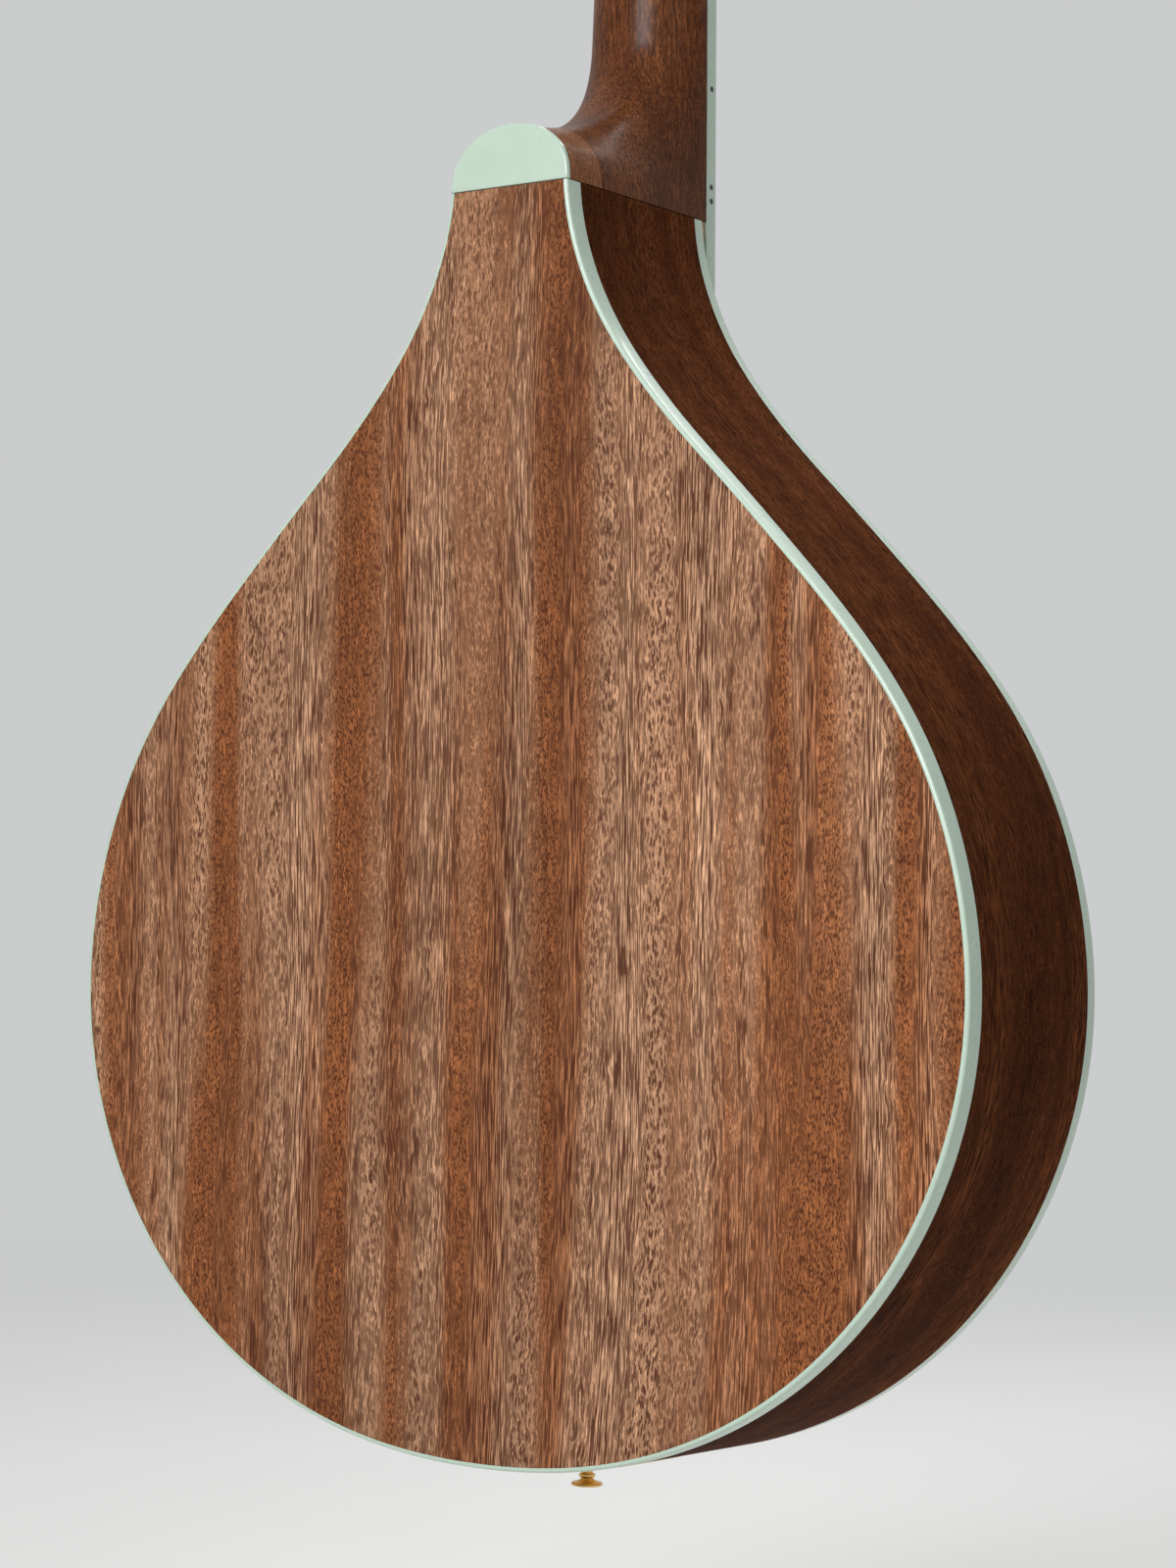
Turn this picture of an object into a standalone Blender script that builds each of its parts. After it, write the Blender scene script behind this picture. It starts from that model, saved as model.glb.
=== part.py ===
"""Octave mandolin: flat-top onion-shaped body, bolted neck and eight open-geared tuning machines.

Metres, +Z up along the neck. The strings face -Y, the back faces +Y and the bass side is -X.
The origin is the point between the headstock's shoulders where a wall hanger carries the instrument.
"""

import math

import bmesh
import bpy
import numpy as np
from mathutils import Matrix, Vector

GAP = 0.0003                      # left between pieces that touch on the real instrument

# Scale and main places
SCALE_LENGTH = 0.560
NUT_Z = -0.012
NECK_FRONT_Y = -0.007             # gluing plane of the fingerboard
JOINT_PAST_FRET_12 = 0.0015
BODY_JOINT_Z = NUT_Z - SCALE_LENGTH / 2 - JOINT_PAST_FRET_12
BRIDGE_Z = NUT_Z - SCALE_LENGTH

# Body
BODY_DEPTH = 0.0750
JOINT_TO_WAISTLINE = 0.2400       # from the neck joint down to the height the outline is drawn from
PLATE_THICKNESS = 0.0028
SIDE_THICKNESS = 0.0024
BINDING_THICKNESS = 0.0015
BACK_BINDING_HEIGHT = 0.007
TOP_BINDING_HEIGHT = 0.005
BINDING_ROUND = 0.0009
LINING_WIDTH = 0.006
LINING_DEPTH = 0.013
OUTLINE_STEPS = 34                # along one half of the body

# Half width of the body at heights above the waistline, from the tail up
HALF_OUTLINE = (
    (0.0, -0.1633), (0.0570, -0.1566), (0.1107, -0.1319), (0.1525, -0.0880), (0.1731, -0.0305),
    (0.1694, 0.0238), (0.1514, 0.0674), (0.1273, 0.0995), (0.1041, 0.1240), (0.0835, 0.1446),
    (0.0656, 0.1624), (0.0512, 0.1786), (0.0396, 0.1944),
)
HEEL_HALF_WIDTH = 0.0233

# Sound hole and rosette
SOUND_HOLE_FROM_JOINT = 0.1585
SOUND_HOLE_Z = BODY_JOINT_Z - SOUND_HOLE_FROM_JOINT
SOUND_HOLE_RADIUS = 0.042
ROSETTE_INNER = 0.0450
ROSETTE_OUTER = 0.0500
ROSETTE_DEPTH = 0.0012
CIRCLE_STEPS = 36

# Blocks and braces inside
NECK_BLOCK_LENGTH = 0.045
TAIL_BLOCK_WIDTH = 0.070
TAIL_BLOCK_LENGTH = 0.018
BRACE_WIDTH = 0.008
BRACE_END_CLEARANCE = 0.002
BACK_BRACE_HEIGHT = 0.014
BACK_BRACES_FROM_JOINT = (0.100, 0.200, 0.305)
TOP_BRACE_HEIGHT = 0.012
X_BRACE_FROM_HOLE = 0.066
X_BRACE_CROSS_Z = SOUND_HOLE_Z - X_BRACE_FROM_HOLE
X_BRACE_ANGLE = math.radians(40)
X_BRACE_UP = 0.130
X_BRACE_DOWN = 0.150
UPPER_BRACE_FROM_HOLE = 0.065
UPPER_BRACE_Z = SOUND_HOLE_Z + UPPER_BRACE_FROM_HOLE

# Neck, heel and fingerboard
NUT_WIDTH = 0.0345
NECK_DEPTH_NUT = 0.0150
NECK_DEPTH_HEEL = 0.0180
HEEL_CAP_THICKNESS = 0.0016
HEEL_CAP_HEIGHT = 0.0200
HEEL_BLOCK_DEPTH = 0.0170
HEEL_COVE_RISE = 0.060
SUPPORT_THICKNESS = 0.0020
SUPPORT_INSET = 0.0008            # inside the edge of the fingerboard
FINGERBOARD_THICKNESS = 0.0055
FINGERBOARD_BINDING = 0.0018
LAST_FRET = 20
PAST_LAST_FRET = 0.006
FRET_WIDTH = 0.0020
FRET_HEIGHT = 0.0010
NUT_LENGTH = 0.005
NUT_SLOPE = 0.0018                # fall of its back half towards the headstock
NUT_RISE = 0.0016                 # nut above the fingerboard, before its gap to the strings
NECK_BOLT_RADIUS = 0.003
NECK_BOLT_HEAD_RADIUS = 0.0058
NECK_BOLT_HEAD_HEIGHT = 0.004
NECK_BOLT_REACH = 0.013
NECK_BOLT_DEPTHS = (0.022, 0.046)   # in from the back face
TRUSS_ROD_WIDTH = 0.0056
TRUSS_ROD_HEIGHT = 0.0080
TRUSS_ROD_CENTRE = 0.0072         # below the gluing plane
TRUSS_NUT_RADIUS = 0.0036
TRUSS_NUT_LENGTH = 0.011
TRUSS_CLEARANCE = 0.0005

# Headstock, in its own frame: x across, y out of its back, z along it from the nut
HEADSTOCK_ANGLE = math.radians(13)
HEADSTOCK_THICKNESS = 0.0140
HEADSTOCK_LENGTH = 0.148
HEADSTOCK_HALF_WIDTH = 0.0365
SHOULDER_LOW = 0.011
SHOULDER_HIGH = 0.024
VENEER_THICKNESS = 0.0015
TRUSS_POCKET_LENGTH = 0.022
TRUSS_COVER_THICKNESS = 0.0018
TRUSS_COVER_LENGTH = 0.032
TRUSS_COVER_HALF_WIDTH = 0.0105

# Tuning machines, in the headstock's frame
POST_X = 0.0235
FIRST_POST_Z = 0.038
POST_PITCH = 0.023
POST_RADIUS = 0.0030
POST_WAIST_RADIUS = 0.0024
POST_HEAD = 0.0045                # solid end above the waist that the string winds on
POST_WAIST_LENGTH = 0.0080
POST_RISE = 0.0165                # above the veneer
POST_SIDES = 10
BORE_CLEARANCE = 0.0003
GEAR_TEETH = 14
GEAR_MODULE = 0.0007
GEAR_THICKNESS = 0.0030
GEAR_BACKLASH = 0.0004
GEAR_STAND_OFF = 0.0036           # from the plate to the gear's middle, clear of the worm
WORM_PITCH_RADIUS = 0.0023
WORM_TURNS = 2
WORM_STEPS = 8
PLATE_METAL = 0.0012
PLATE_INNER_X = 0.0150
PLATE_OUTER_X = 0.0335
PLATE_MARGIN = 0.013
EAR_THICKNESS = 0.0010
EAR_WIDTH = 0.0060
EAR_RISE = 0.0028                 # past the worm's axis
EAR_INNER_X = 0.0168
EAR_OUTER_X = 0.0300
SHAFT_RADIUS = 0.0013
BUTTON_START_X = 0.0400
BUTTON_LENGTH = 0.0165
BUTTON_HALF_WIDTH = 0.0072
BUTTON_HALF_THICKNESS = 0.0036
BUTTON_SIDES = 8
WINDING_TURNS = 1.5
WINDING_GAP = 0.0005

# Strings: diameters of the four courses, bass first
STRING_DIAMETERS = (0.00112, 0.00081, 0.00051, 0.00030)
COURSE_SPREAD_NUT = 0.0128        # outer course's middle from the centre line
COURSE_SPREAD_BRIDGE = 0.0225
PAIR_SPACING_NUT = 0.0023
PAIR_SPACING_BRIDGE = 0.0032
BRIDGE_STRING_HEIGHT = 0.0135     # string axes above the soundboard at the saddle

# Bridge and tailpiece
BRIDGE_HALF_LENGTH = 0.058
BRIDGE_THICKNESS = 0.012
BRIDGE_HEIGHT = 0.0095
BRIDGE_FOOT = 0.024
BRIDGE_ARCH = 0.0028
SADDLE_HALF_LENGTH = 0.031
SADDLE_THICKNESS = 0.003
SADDLE_DEPTH = 0.004
TAILPIECE_HALF_WIDTH = 0.024
TAILPIECE_METAL = 0.0015
TAILPIECE_LENGTH = 0.046
TAILPIECE_RISE = 0.0045
TAILPIECE_END_DEPTH = 0.030
HOOK_RADIUS = 0.0009
HOOK_HEIGHT = 0.0038
STRAP_BUTTON_LENGTH = 0.0095
STRAP_BUTTON_DEPTH = 0.016        # its axis behind the soundboard
STRAP_BUTTON_RADIUS = 0.0052
STRAP_SCREW_REACH = 0.014
STRAP_SCREW_RADIUS = 0.0018

SOUNDBOARD_Y = NECK_FRONT_Y + SUPPORT_THICKNESS
BACK_Y = SOUNDBOARD_Y + BODY_DEPTH
WAISTLINE_Z = BODY_JOINT_Z - JOINT_TO_WAISTLINE
TAIL_Z = WAISTLINE_Z + HALF_OUTLINE[0][1]
FRET_TOP_Y = NECK_FRONT_Y - FINGERBOARD_THICKNESS - FRET_HEIGHT
NUT_STRING_Y = NECK_FRONT_Y - FINGERBOARD_THICKNESS - NUT_RISE
SADDLE_STRING_Y = SOUNDBOARD_Y - BRIDGE_STRING_HEIGHT
WORM_PITCH = math.pi * GEAR_MODULE
GEAR_PITCH_RADIUS = GEAR_MODULE * GEAR_TEETH / 2
WORM_OFFSET = GEAR_PITCH_RADIUS + WORM_PITCH_RADIUS
GEAR_MIDDLE_Y = HEADSTOCK_THICKNESS + GAP + PLATE_METAL + GEAR_STAND_OFF
FINGERBOARD_END_Z = NUT_Z - SCALE_LENGTH * (1 - 2 ** (-LAST_FRET / 12)) - PAST_LAST_FRET


def clear_scene():
    for obj in list(bpy.data.objects):
        bpy.data.objects.remove(obj, do_unlink=True)


def new_collection(name):
    found = bpy.data.collections.new(name)
    bpy.context.scene.collection.children.link(found)
    return found


def new_material(name, colour, roughness, metallic=0.0):
    made = bpy.data.materials.new(name)
    made.use_nodes = True
    shader = made.node_tree.nodes["Principled BSDF"]
    shader.inputs["Base Color"].default_value = (*colour, 1.0)
    shader.inputs["Roughness"].default_value = roughness
    shader.inputs["Metallic"].default_value = metallic
    return made


clear_scene()
PARTS = new_collection("octave_mandolin")
CUTTERS = new_collection("cutters")
SAPELE = new_material("sapele", (0.30, 0.13, 0.06), 0.35)
MAHOGANY = new_material("mahogany", (0.16, 0.06, 0.025), 0.25)
SPRUCE = new_material("spruce", (0.66, 0.47, 0.27), 0.35)
LIGHT_WOOD = new_material("light_wood", (0.55, 0.38, 0.22), 0.45)
ROSEWOOD = new_material("rosewood", (0.05, 0.025, 0.018), 0.45)
IVORY_PLASTIC = new_material("ivory_plastic", (0.72, 0.72, 0.60), 0.25)
BONE = new_material("bone", (0.80, 0.76, 0.64), 0.35)
GOLD = new_material("gold_plate", (0.83, 0.62, 0.25), 0.25, 1.0)
STEEL = new_material("steel", (0.55, 0.55, 0.55), 0.3, 1.0)
BLACK = new_material("black_plastic", (0.02, 0.02, 0.02), 0.3)


def keep(name, mesh, material, parent=None):
    """An object of the part, with smooth faces up to 35 degrees."""
    if material and not mesh.materials:
        mesh.materials.append(material)
    obj = bpy.data.objects.new(name, mesh)
    PARTS.objects.link(obj)
    mesh.shade_smooth()
    mesh.set_sharp_from_angle(angle=math.radians(35))
    if parent:
        obj.parent = parent
    return obj


def as_cutter(obj):
    """Moves an object among the cutters, which the part leaves out."""
    PARTS.objects.unlink(obj)
    CUTTERS.objects.link(obj)
    obj.hide_render = True
    obj.display_type = "WIRE"
    return obj


def boolean(obj, other, operation, tolerant=False):
    mod = obj.modifiers.new(operation.lower(), "BOOLEAN")
    mod.operation = operation
    mod.object = other
    mod.solver = "EXACT"
    mod.use_hole_tolerant = tolerant


def mesh_from(bm, name):
    bmesh.ops.recalc_face_normals(bm, faces=bm.faces[:])
    mesh = bpy.data.meshes.new(name)
    bm.to_mesh(mesh)
    bm.free()
    return mesh


def box_mesh(name, low, high):
    low, high = Vector(low), Vector(high)
    bm = bmesh.new()
    bmesh.ops.create_cube(bm, size=1.0)
    for vert in bm.verts:
        vert.co = Vector((low[k] + (vert.co[k] + 0.5) * (high[k] - low[k]) for k in range(3)))
    return mesh_from(bm, name)


def box(name, low, high, material, parent=None):
    return keep(name, box_mesh(name, low, high), material, parent)


def rod_mesh(name, radius, start, end, sides=16, turn_by=0.0):
    """A cylinder between two points, its first corner turned by an angle."""
    start, end = Vector(start), Vector(end)
    bm = bmesh.new()
    turn = (end - start).to_track_quat("Z", "Y").to_matrix().to_4x4()
    place = Matrix.Translation((start + end) / 2) @ turn @ Matrix.Rotation(turn_by, 4, "Z")
    bmesh.ops.create_cone(
        bm, cap_ends=True, segments=sides, radius1=radius, radius2=radius,
        depth=(end - start).length, matrix=place,
    )
    return mesh_from(bm, name)


def flat_piece(name, loops, y_front, y_back, material, parent=None):
    """An outline in the XZ plane, with any holes after it, filled and given its thickness along Y."""
    curve = bpy.data.curves.new(name, "CURVE")
    curve.dimensions = "2D"
    curve.fill_mode = "BOTH"
    curve.extrude = (y_back - y_front) / 2
    for loop in loops:
        spline = curve.splines.new("POLY")
        spline.points.add(len(loop) - 1)
        for point, (x, z) in zip(spline.points, loop):
            point.co = (x, z, 0, 1)
        spline.use_cyclic_u = True
    drawn = bpy.data.objects.new(name + "_outline", curve)
    CUTTERS.objects.link(drawn)
    graph = bpy.context.evaluated_depsgraph_get()
    mesh = bpy.data.meshes.new_from_object(drawn.evaluated_get(graph))
    bpy.data.objects.remove(drawn, do_unlink=True)
    bm = bmesh.new()
    bm.from_mesh(mesh)
    bmesh.ops.remove_doubles(bm, verts=bm.verts[:], dist=1e-6)
    upright = Matrix.Translation((0, (y_front + y_back) / 2, 0)) @ Matrix.Rotation(math.pi / 2, 4, "X")
    bm.transform(upright)
    bmesh.ops.recalc_face_normals(bm, faces=bm.faces[:])
    bm.to_mesh(mesh)
    bm.free()
    return keep(name, mesh, material, parent)


def skinned_mesh(name, rings):
    """A skin over rings of equally many points, in order, closed at both ends."""
    bm = bmesh.new()
    made = [[bm.verts.new(point) for point in ring] for ring in rings]
    count = len(made[0])
    for first, second in zip(made, made[1:]):
        for k in range(count):
            bm.faces.new((first[k], first[(k + 1) % count], second[(k + 1) % count], second[k]))
    bm.faces.new(made[0][::-1])
    bm.faces.new(made[-1])
    return mesh_from(bm, name)


def loft(name, rings, material, parent=None):
    return keep(name, skinned_mesh(name, rings), material, parent)


def turned(name, profile, place, material, parent=None, steps=12):
    """A turned shape: (radius, height) pairs from the top down, spun about its own Z axis."""
    bm = bmesh.new()
    verts = [bm.verts.new((max(radius, 0.0), 0, height)) for radius, height in profile]
    for first, second in zip(verts, verts[1:]):
        bm.edges.new((first, second))
    mesh = bpy.data.meshes.new(name)
    bm.to_mesh(mesh)
    bm.free()
    obj = keep(name, mesh, material, parent)
    screw = obj.modifiers.new("turn", "SCREW")
    screw.steps = steps
    screw.render_steps = steps
    screw.use_merge_vertices = True
    screw.merge_threshold = 0.00001
    obj.matrix_local = place
    return obj


def applied_mesh(obj):
    """The mesh of an object with its modifiers, in its parent's frame, and the object removed."""
    graph = bpy.context.evaluated_depsgraph_get()
    mesh = bpy.data.meshes.new_from_object(obj.evaluated_get(graph))
    mesh.transform(obj.matrix_local)
    bpy.data.objects.remove(obj, do_unlink=True)
    return mesh


def smooth_curve(points, start_way, end_way, steps):
    """Evenly spaced points on the natural cubic curve through some points, clamped at both ends."""
    points = np.array(points, float)
    gaps = np.linalg.norm(np.diff(points, axis=0), axis=1)
    knots = np.concatenate([[0.0], np.cumsum(gaps)])
    count = len(points)
    system = np.zeros((count, count))
    right = np.zeros((count, 2))
    system[0, 0] = system[-1, -1] = 1.0
    right[0], right[-1] = start_way, end_way
    for k in range(1, count - 1):
        before, after = gaps[k - 1], gaps[k]
        system[k, k - 1: k + 2] = after, 2 * (before + after), before
        right[k] = 3 * (
            after * (points[k] - points[k - 1]) / before + before * (points[k + 1] - points[k]) / after
        )
    ways = np.linalg.solve(system, right)

    def at(where):
        k = min(int(np.searchsorted(knots, where, side="right")) - 1, count - 2)
        width = gaps[k]
        t = (where - knots[k]) / width
        return (
            (2 * t ** 3 - 3 * t ** 2 + 1) * points[k] + (t ** 3 - 2 * t ** 2 + t) * width * ways[k]
            + (3 * t ** 2 - 2 * t ** 3) * points[k + 1] + (t ** 3 - t ** 2) * width * ways[k + 1]
        )

    return np.array([at(where) for where in np.linspace(0.0, knots[-1], steps + 1)])


def half_outline():
    """The treble half of the body's edge, from the tail to the heel's corner, as (x, z)."""
    points = [(half_width, WAISTLINE_Z + height) for half_width, height in HALF_OUTLINE]
    points.append((HEEL_HALF_WIDTH, BODY_JOINT_Z))
    return smooth_curve(points, (1.0, 0.0), (-0.08, 1.0), OUTLINE_STEPS)


HALF = half_outline()


def normals_of(path):
    """Outward normals of the treble half, square to the centre line at its two ends."""
    ways = np.gradient(path, axis=0)
    ways /= np.linalg.norm(ways, axis=1)[:, None]
    normals = np.stack([ways[:, 1], -ways[:, 0]], axis=1)
    normals[0] = (0.0, -1.0)
    normals[-1] = (1.0, 0.0)
    return normals


NORMALS = normals_of(HALF)


def inset_half(inset):
    return HALF - NORMALS * inset


def inset_outline(inset):
    """The whole edge moved inwards, closed across the neck joint."""
    treble = inset_half(inset)
    bass = treble[:0:-1] * (-1, 1)
    return [tuple(point) for point in np.concatenate([treble, bass])]


def edge_sweep(name, section, material, side=0, tail_gap=0.0):
    """Sweeps a section of (inset, y) pairs round the edge. Side is -1 bass, 1 treble, 0 both."""
    offsets = [inset_half(inset) for inset, _ in section]
    treble = [
        [(offsets[k][i][0], section[k][1], offsets[k][i][1]) for k in range(len(section))]
        for i in range(len(HALF))
    ]
    bass = [[(-x, y, z) for x, y, z in ring] for ring in treble]
    if side == 0:
        rings = bass[:0:-1] + treble
    else:
        rings = treble if side > 0 else bass
        rings = [[(x + side * tail_gap if i == 0 else x, y, z) for x, y, z in ring]
                 for i, ring in enumerate(rings)]
    return loft(name, rings, material)


def rounded_corner(inset, y, radius, way):
    """Three points round the outer corner of a binding; way is the side of Y the wood lies on."""
    return [
        (inset + radius * (1 - math.sin(angle)), y + way * radius * (1 - math.cos(angle)))
        for angle in (0.0, math.pi / 4, math.pi / 2)
    ]


def make_body():
    plate_inset = BINDING_THICKNESS + GAP
    flat_piece("back_plate", [inset_outline(plate_inset)], BACK_Y - PLATE_THICKNESS, BACK_Y, SAPELE)
    hole = [
        (SOUND_HOLE_RADIUS * math.cos(a), SOUND_HOLE_Z + SOUND_HOLE_RADIUS * math.sin(a))
        for a in np.linspace(0, 2 * math.pi, CIRCLE_STEPS, endpoint=False)
    ]
    top = flat_piece(
        "soundboard", [inset_outline(plate_inset), hole],
        SOUNDBOARD_Y, SOUNDBOARD_Y + PLATE_THICKNESS, SPRUCE,
    )
    make_rosette(top)
    back_corner = rounded_corner(0.0, BACK_Y, BINDING_ROUND, -1)
    edge_sweep(
        "back_binding",
        [*back_corner, (0.0, BACK_Y - BACK_BINDING_HEIGHT),
         (BINDING_THICKNESS, BACK_Y - BACK_BINDING_HEIGHT), (BINDING_THICKNESS, BACK_Y)],
        IVORY_PLASTIC,
    )
    front_corner = rounded_corner(0.0, SOUNDBOARD_Y, BINDING_ROUND, 1)
    edge_sweep(
        "top_binding",
        [*front_corner, (0.0, SOUNDBOARD_Y + TOP_BINDING_HEIGHT),
         (BINDING_THICKNESS, SOUNDBOARD_Y + TOP_BINDING_HEIGHT), (BINDING_THICKNESS, SOUNDBOARD_Y)],
        IVORY_PLASTIC,
    )
    back_edge = BACK_Y - PLATE_THICKNESS - GAP
    front_edge = SOUNDBOARD_Y + PLATE_THICKNESS + GAP
    back_step = BACK_Y - BACK_BINDING_HEIGHT - GAP
    front_step = SOUNDBOARD_Y + TOP_BINDING_HEIGHT + GAP
    rebate = BINDING_THICKNESS + GAP
    section = [
        (0.0, front_step), (0.0, back_step), (rebate, back_step), (rebate, back_edge),
        (SIDE_THICKNESS, back_edge), (SIDE_THICKNESS, front_edge), (rebate, front_edge),
        (rebate, front_step),
    ]
    edge_sweep("side_treble", section, SAPELE, 1, GAP / 2)
    edge_sweep("side_bass", section, SAPELE, -1, GAP / 2)
    for name, section in lining_sections(0.0):
        make_lining(name, section)
    make_blocks()
    make_braces()


def lining_sections(grown):
    """The two triangular linings between the plates and the sides, as (name, section)."""
    found = []
    for name, edge, way in (
        ("back_lining", BACK_Y - PLATE_THICKNESS - GAP, -1),
        ("top_lining", SOUNDBOARD_Y + PLATE_THICKNESS + GAP, 1),
    ):
        inner = SIDE_THICKNESS + GAP - 3 * grown
        reach, edge = LINING_WIDTH + 6 * grown, edge - way * 3 * grown
        found.append((name, [
            (inner, edge), (inner, edge + way * (LINING_DEPTH + 14 * grown)), (inner + reach, edge),
        ]))
    return found


def make_rosette(top):
    ring = []
    for radius in (ROSETTE_OUTER, ROSETTE_INNER):
        ring.append([
            (radius * math.cos(a), SOUND_HOLE_Z + radius * math.sin(a))
            for a in np.linspace(0, 2 * math.pi, CIRCLE_STEPS, endpoint=False)
        ])
    groove = []
    for radius in (ROSETTE_OUTER + GAP, ROSETTE_INNER - GAP):
        groove.append([
            (radius * math.cos(a), SOUND_HOLE_Z + radius * math.sin(a))
            for a in np.linspace(0, 2 * math.pi, CIRCLE_STEPS, endpoint=False)
        ])
    bottom = SOUNDBOARD_Y + ROSETTE_DEPTH
    flat_piece("rosette", ring, SOUNDBOARD_Y, bottom, IVORY_PLASTIC)
    cutter = as_cutter(flat_piece(
        "rosette_groove", groove, SOUNDBOARD_Y - 0.001, bottom + GAP, SPRUCE,
    ))
    boolean(top, cutter, "DIFFERENCE")


def make_lining(name, section):
    """A lining glued round the inside of the sides, between the neck block and back to it."""
    lining = edge_sweep(name, section, LIGHT_WOOD)
    low = (-0.3, SOUNDBOARD_Y - 0.01, BODY_JOINT_Z - NECK_BLOCK_LENGTH - GAP)
    high = (0.3, BACK_Y + 0.01, BODY_JOINT_Z + 0.01)
    boolean(lining, as_cutter(box(name + "_end", low, high, LIGHT_WOOD)), "DIFFERENCE")


def make_blocks():
    front = SOUNDBOARD_Y + PLATE_THICKNESS + GAP
    back = BACK_Y - PLATE_THICKNESS - GAP
    inner = SIDE_THICKNESS + GAP
    block = flat_piece("neck_block", [inset_outline(inner)], front, back, MAHOGANY)
    low = (-0.3, -0.3, BODY_JOINT_Z - NECK_BLOCK_LENGTH)
    trim = as_cutter(box("neck_block_trim", low, (0.3, 0.3, BODY_JOINT_Z + 0.02), MAHOGANY))
    boolean(block, trim, "INTERSECT")
    for k, depth in enumerate(NECK_BOLT_DEPTHS):
        y = BACK_Y - depth
        hole = keep(f"neck_bolt_hole_{k + 1}", rod_mesh(
            "hole", NECK_BOLT_RADIUS + GAP,
            (0, y, BODY_JOINT_Z - NECK_BLOCK_LENGTH - 0.01), (0, y, BODY_JOINT_Z + 0.01),
        ), MAHOGANY)
        boolean(block, as_cutter(hole), "DIFFERENCE")
        make_neck_bolt(k + 1, y)
    tail = flat_piece("tail_block", [inset_outline(inner)], front, back, MAHOGANY)
    low = (-TAIL_BLOCK_WIDTH / 2, -0.3, TAIL_Z - 0.01)
    high = (TAIL_BLOCK_WIDTH / 2, 0.3, TAIL_Z + SIDE_THICKNESS + TAIL_BLOCK_LENGTH)
    boolean(tail, as_cutter(box("tail_block_trim", low, high, MAHOGANY)), "INTERSECT")
    for name, section in lining_sections(GAP):
        notch = as_cutter(edge_sweep(f"tail_block_{name}_notch", section, MAHOGANY))
        boolean(tail, notch, "DIFFERENCE")


def make_neck_bolt(number, y):
    """A hexagon-headed bolt from inside the body through the block into the heel."""
    seat = BODY_JOINT_Z - NECK_BLOCK_LENGTH - GAP
    shank = keep("shank", rod_mesh(
        "shank", NECK_BOLT_RADIUS, (0, y, seat - 0.001), (0, y, BODY_JOINT_Z + NECK_BOLT_REACH), 12,
    ), STEEL)
    bolt = keep(f"neck_bolt_{number}", rod_mesh(
        "head", NECK_BOLT_HEAD_RADIUS, (0, y, seat - NECK_BOLT_HEAD_HEIGHT), (0, y, seat), 6,
    ), STEEL)
    boolean(bolt, as_cutter(shank), "UNION")


def half_width_at(z, inset):
    """Half the body's inner width at a height."""
    path = inset_half(inset)
    upper = path[np.argmax(path[:, 0]):]
    lower = path[: np.argmax(path[:, 0]) + 1]
    part = upper if z > upper[0, 1] else lower
    return float(np.interp(z, part[:, 1], part[:, 0]))


def brace_reach(z, inset):
    """Half length of a cross brace whose ends stay clear of the lining."""
    narrowest = min(half_width_at(z + side * BRACE_WIDTH / 2, inset) for side in (-1, 1))
    return narrowest - BRACE_END_CLEARANCE


def brace_rings(half_length, height, way):
    """Sections of a brace along X with a rounded top and scalloped ends, standing on y = 0 towards way."""
    rings = []
    for x, share in (
        (-half_length, 0.25), (-half_length * 0.78, 1.0), (half_length * 0.78, 1.0), (half_length, 0.25),
    ):
        top = way * height * share
        w = BRACE_WIDTH / 2
        rings.append([
            (x, 0, -w), (x, 0, w), (x, top * 0.7, w), (x, top, w * 0.35), (x, top, -w * 0.35),
            (x, top * 0.7, -w),
        ])
    return rings


def make_braces():
    inner = SIDE_THICKNESS + GAP + LINING_WIDTH + GAP
    back_face = BACK_Y - PLATE_THICKNESS - GAP
    for k, down in enumerate(BACK_BRACES_FROM_JOINT):
        z = BODY_JOINT_Z - down
        half = brace_reach(z, inner)
        brace = loft(f"back_brace_{k + 1}", brace_rings(half, BACK_BRACE_HEIGHT, -1), SPRUCE)
        brace.location = (0, back_face, z)
    top_face = SOUNDBOARD_Y + PLATE_THICKNESS + GAP
    half = brace_reach(UPPER_BRACE_Z, inner)
    brace = loft("upper_brace", brace_rings(half, TOP_BRACE_HEIGHT, 1), SPRUCE)
    brace.location = (0, top_face, UPPER_BRACE_Z)
    make_x_braces(top_face)


def make_x_braces(top_face):
    """Two crossing braces, halved into each other where they cross."""
    half = (X_BRACE_UP + X_BRACE_DOWN) / 2
    shift = (X_BRACE_UP - X_BRACE_DOWN) / 2
    made = []
    for name, lean in (("x_brace_treble", 1), ("x_brace_bass", -1)):
        brace = loft(name, brace_rings(half, TOP_BRACE_HEIGHT, 1), SPRUCE)
        way = Vector((math.cos(X_BRACE_ANGLE), 0, math.sin(X_BRACE_ANGLE)))
        middle = Vector((lean * way.x * shift, top_face, X_BRACE_CROSS_Z + way.z * shift))
        brace.matrix_local = Matrix.Translation(middle) @ Matrix.Rotation(-lean * X_BRACE_ANGLE, 4, "Y")
        made.append(brace)
    for brace, low_y, high_y, lean in (
        (made[0], -BRACE_WIDTH, TOP_BRACE_HEIGHT / 2 + GAP / 2, -1),
        (made[1], TOP_BRACE_HEIGHT / 2 - GAP / 2, TOP_BRACE_HEIGHT + BRACE_WIDTH, 1),
    ):
        notch = box(
            brace.name + "_notch", (-BRACE_WIDTH * 3, low_y, -BRACE_WIDTH / 2 - GAP),
            (BRACE_WIDTH * 3, high_y, BRACE_WIDTH / 2 + GAP), SPRUCE,
        )
        notch.matrix_local = Matrix.Translation((0, top_face, X_BRACE_CROSS_Z)) @ Matrix.Rotation(
            -lean * X_BRACE_ANGLE, 4, "Y")
        boolean(brace, as_cutter(notch), "DIFFERENCE")


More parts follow.
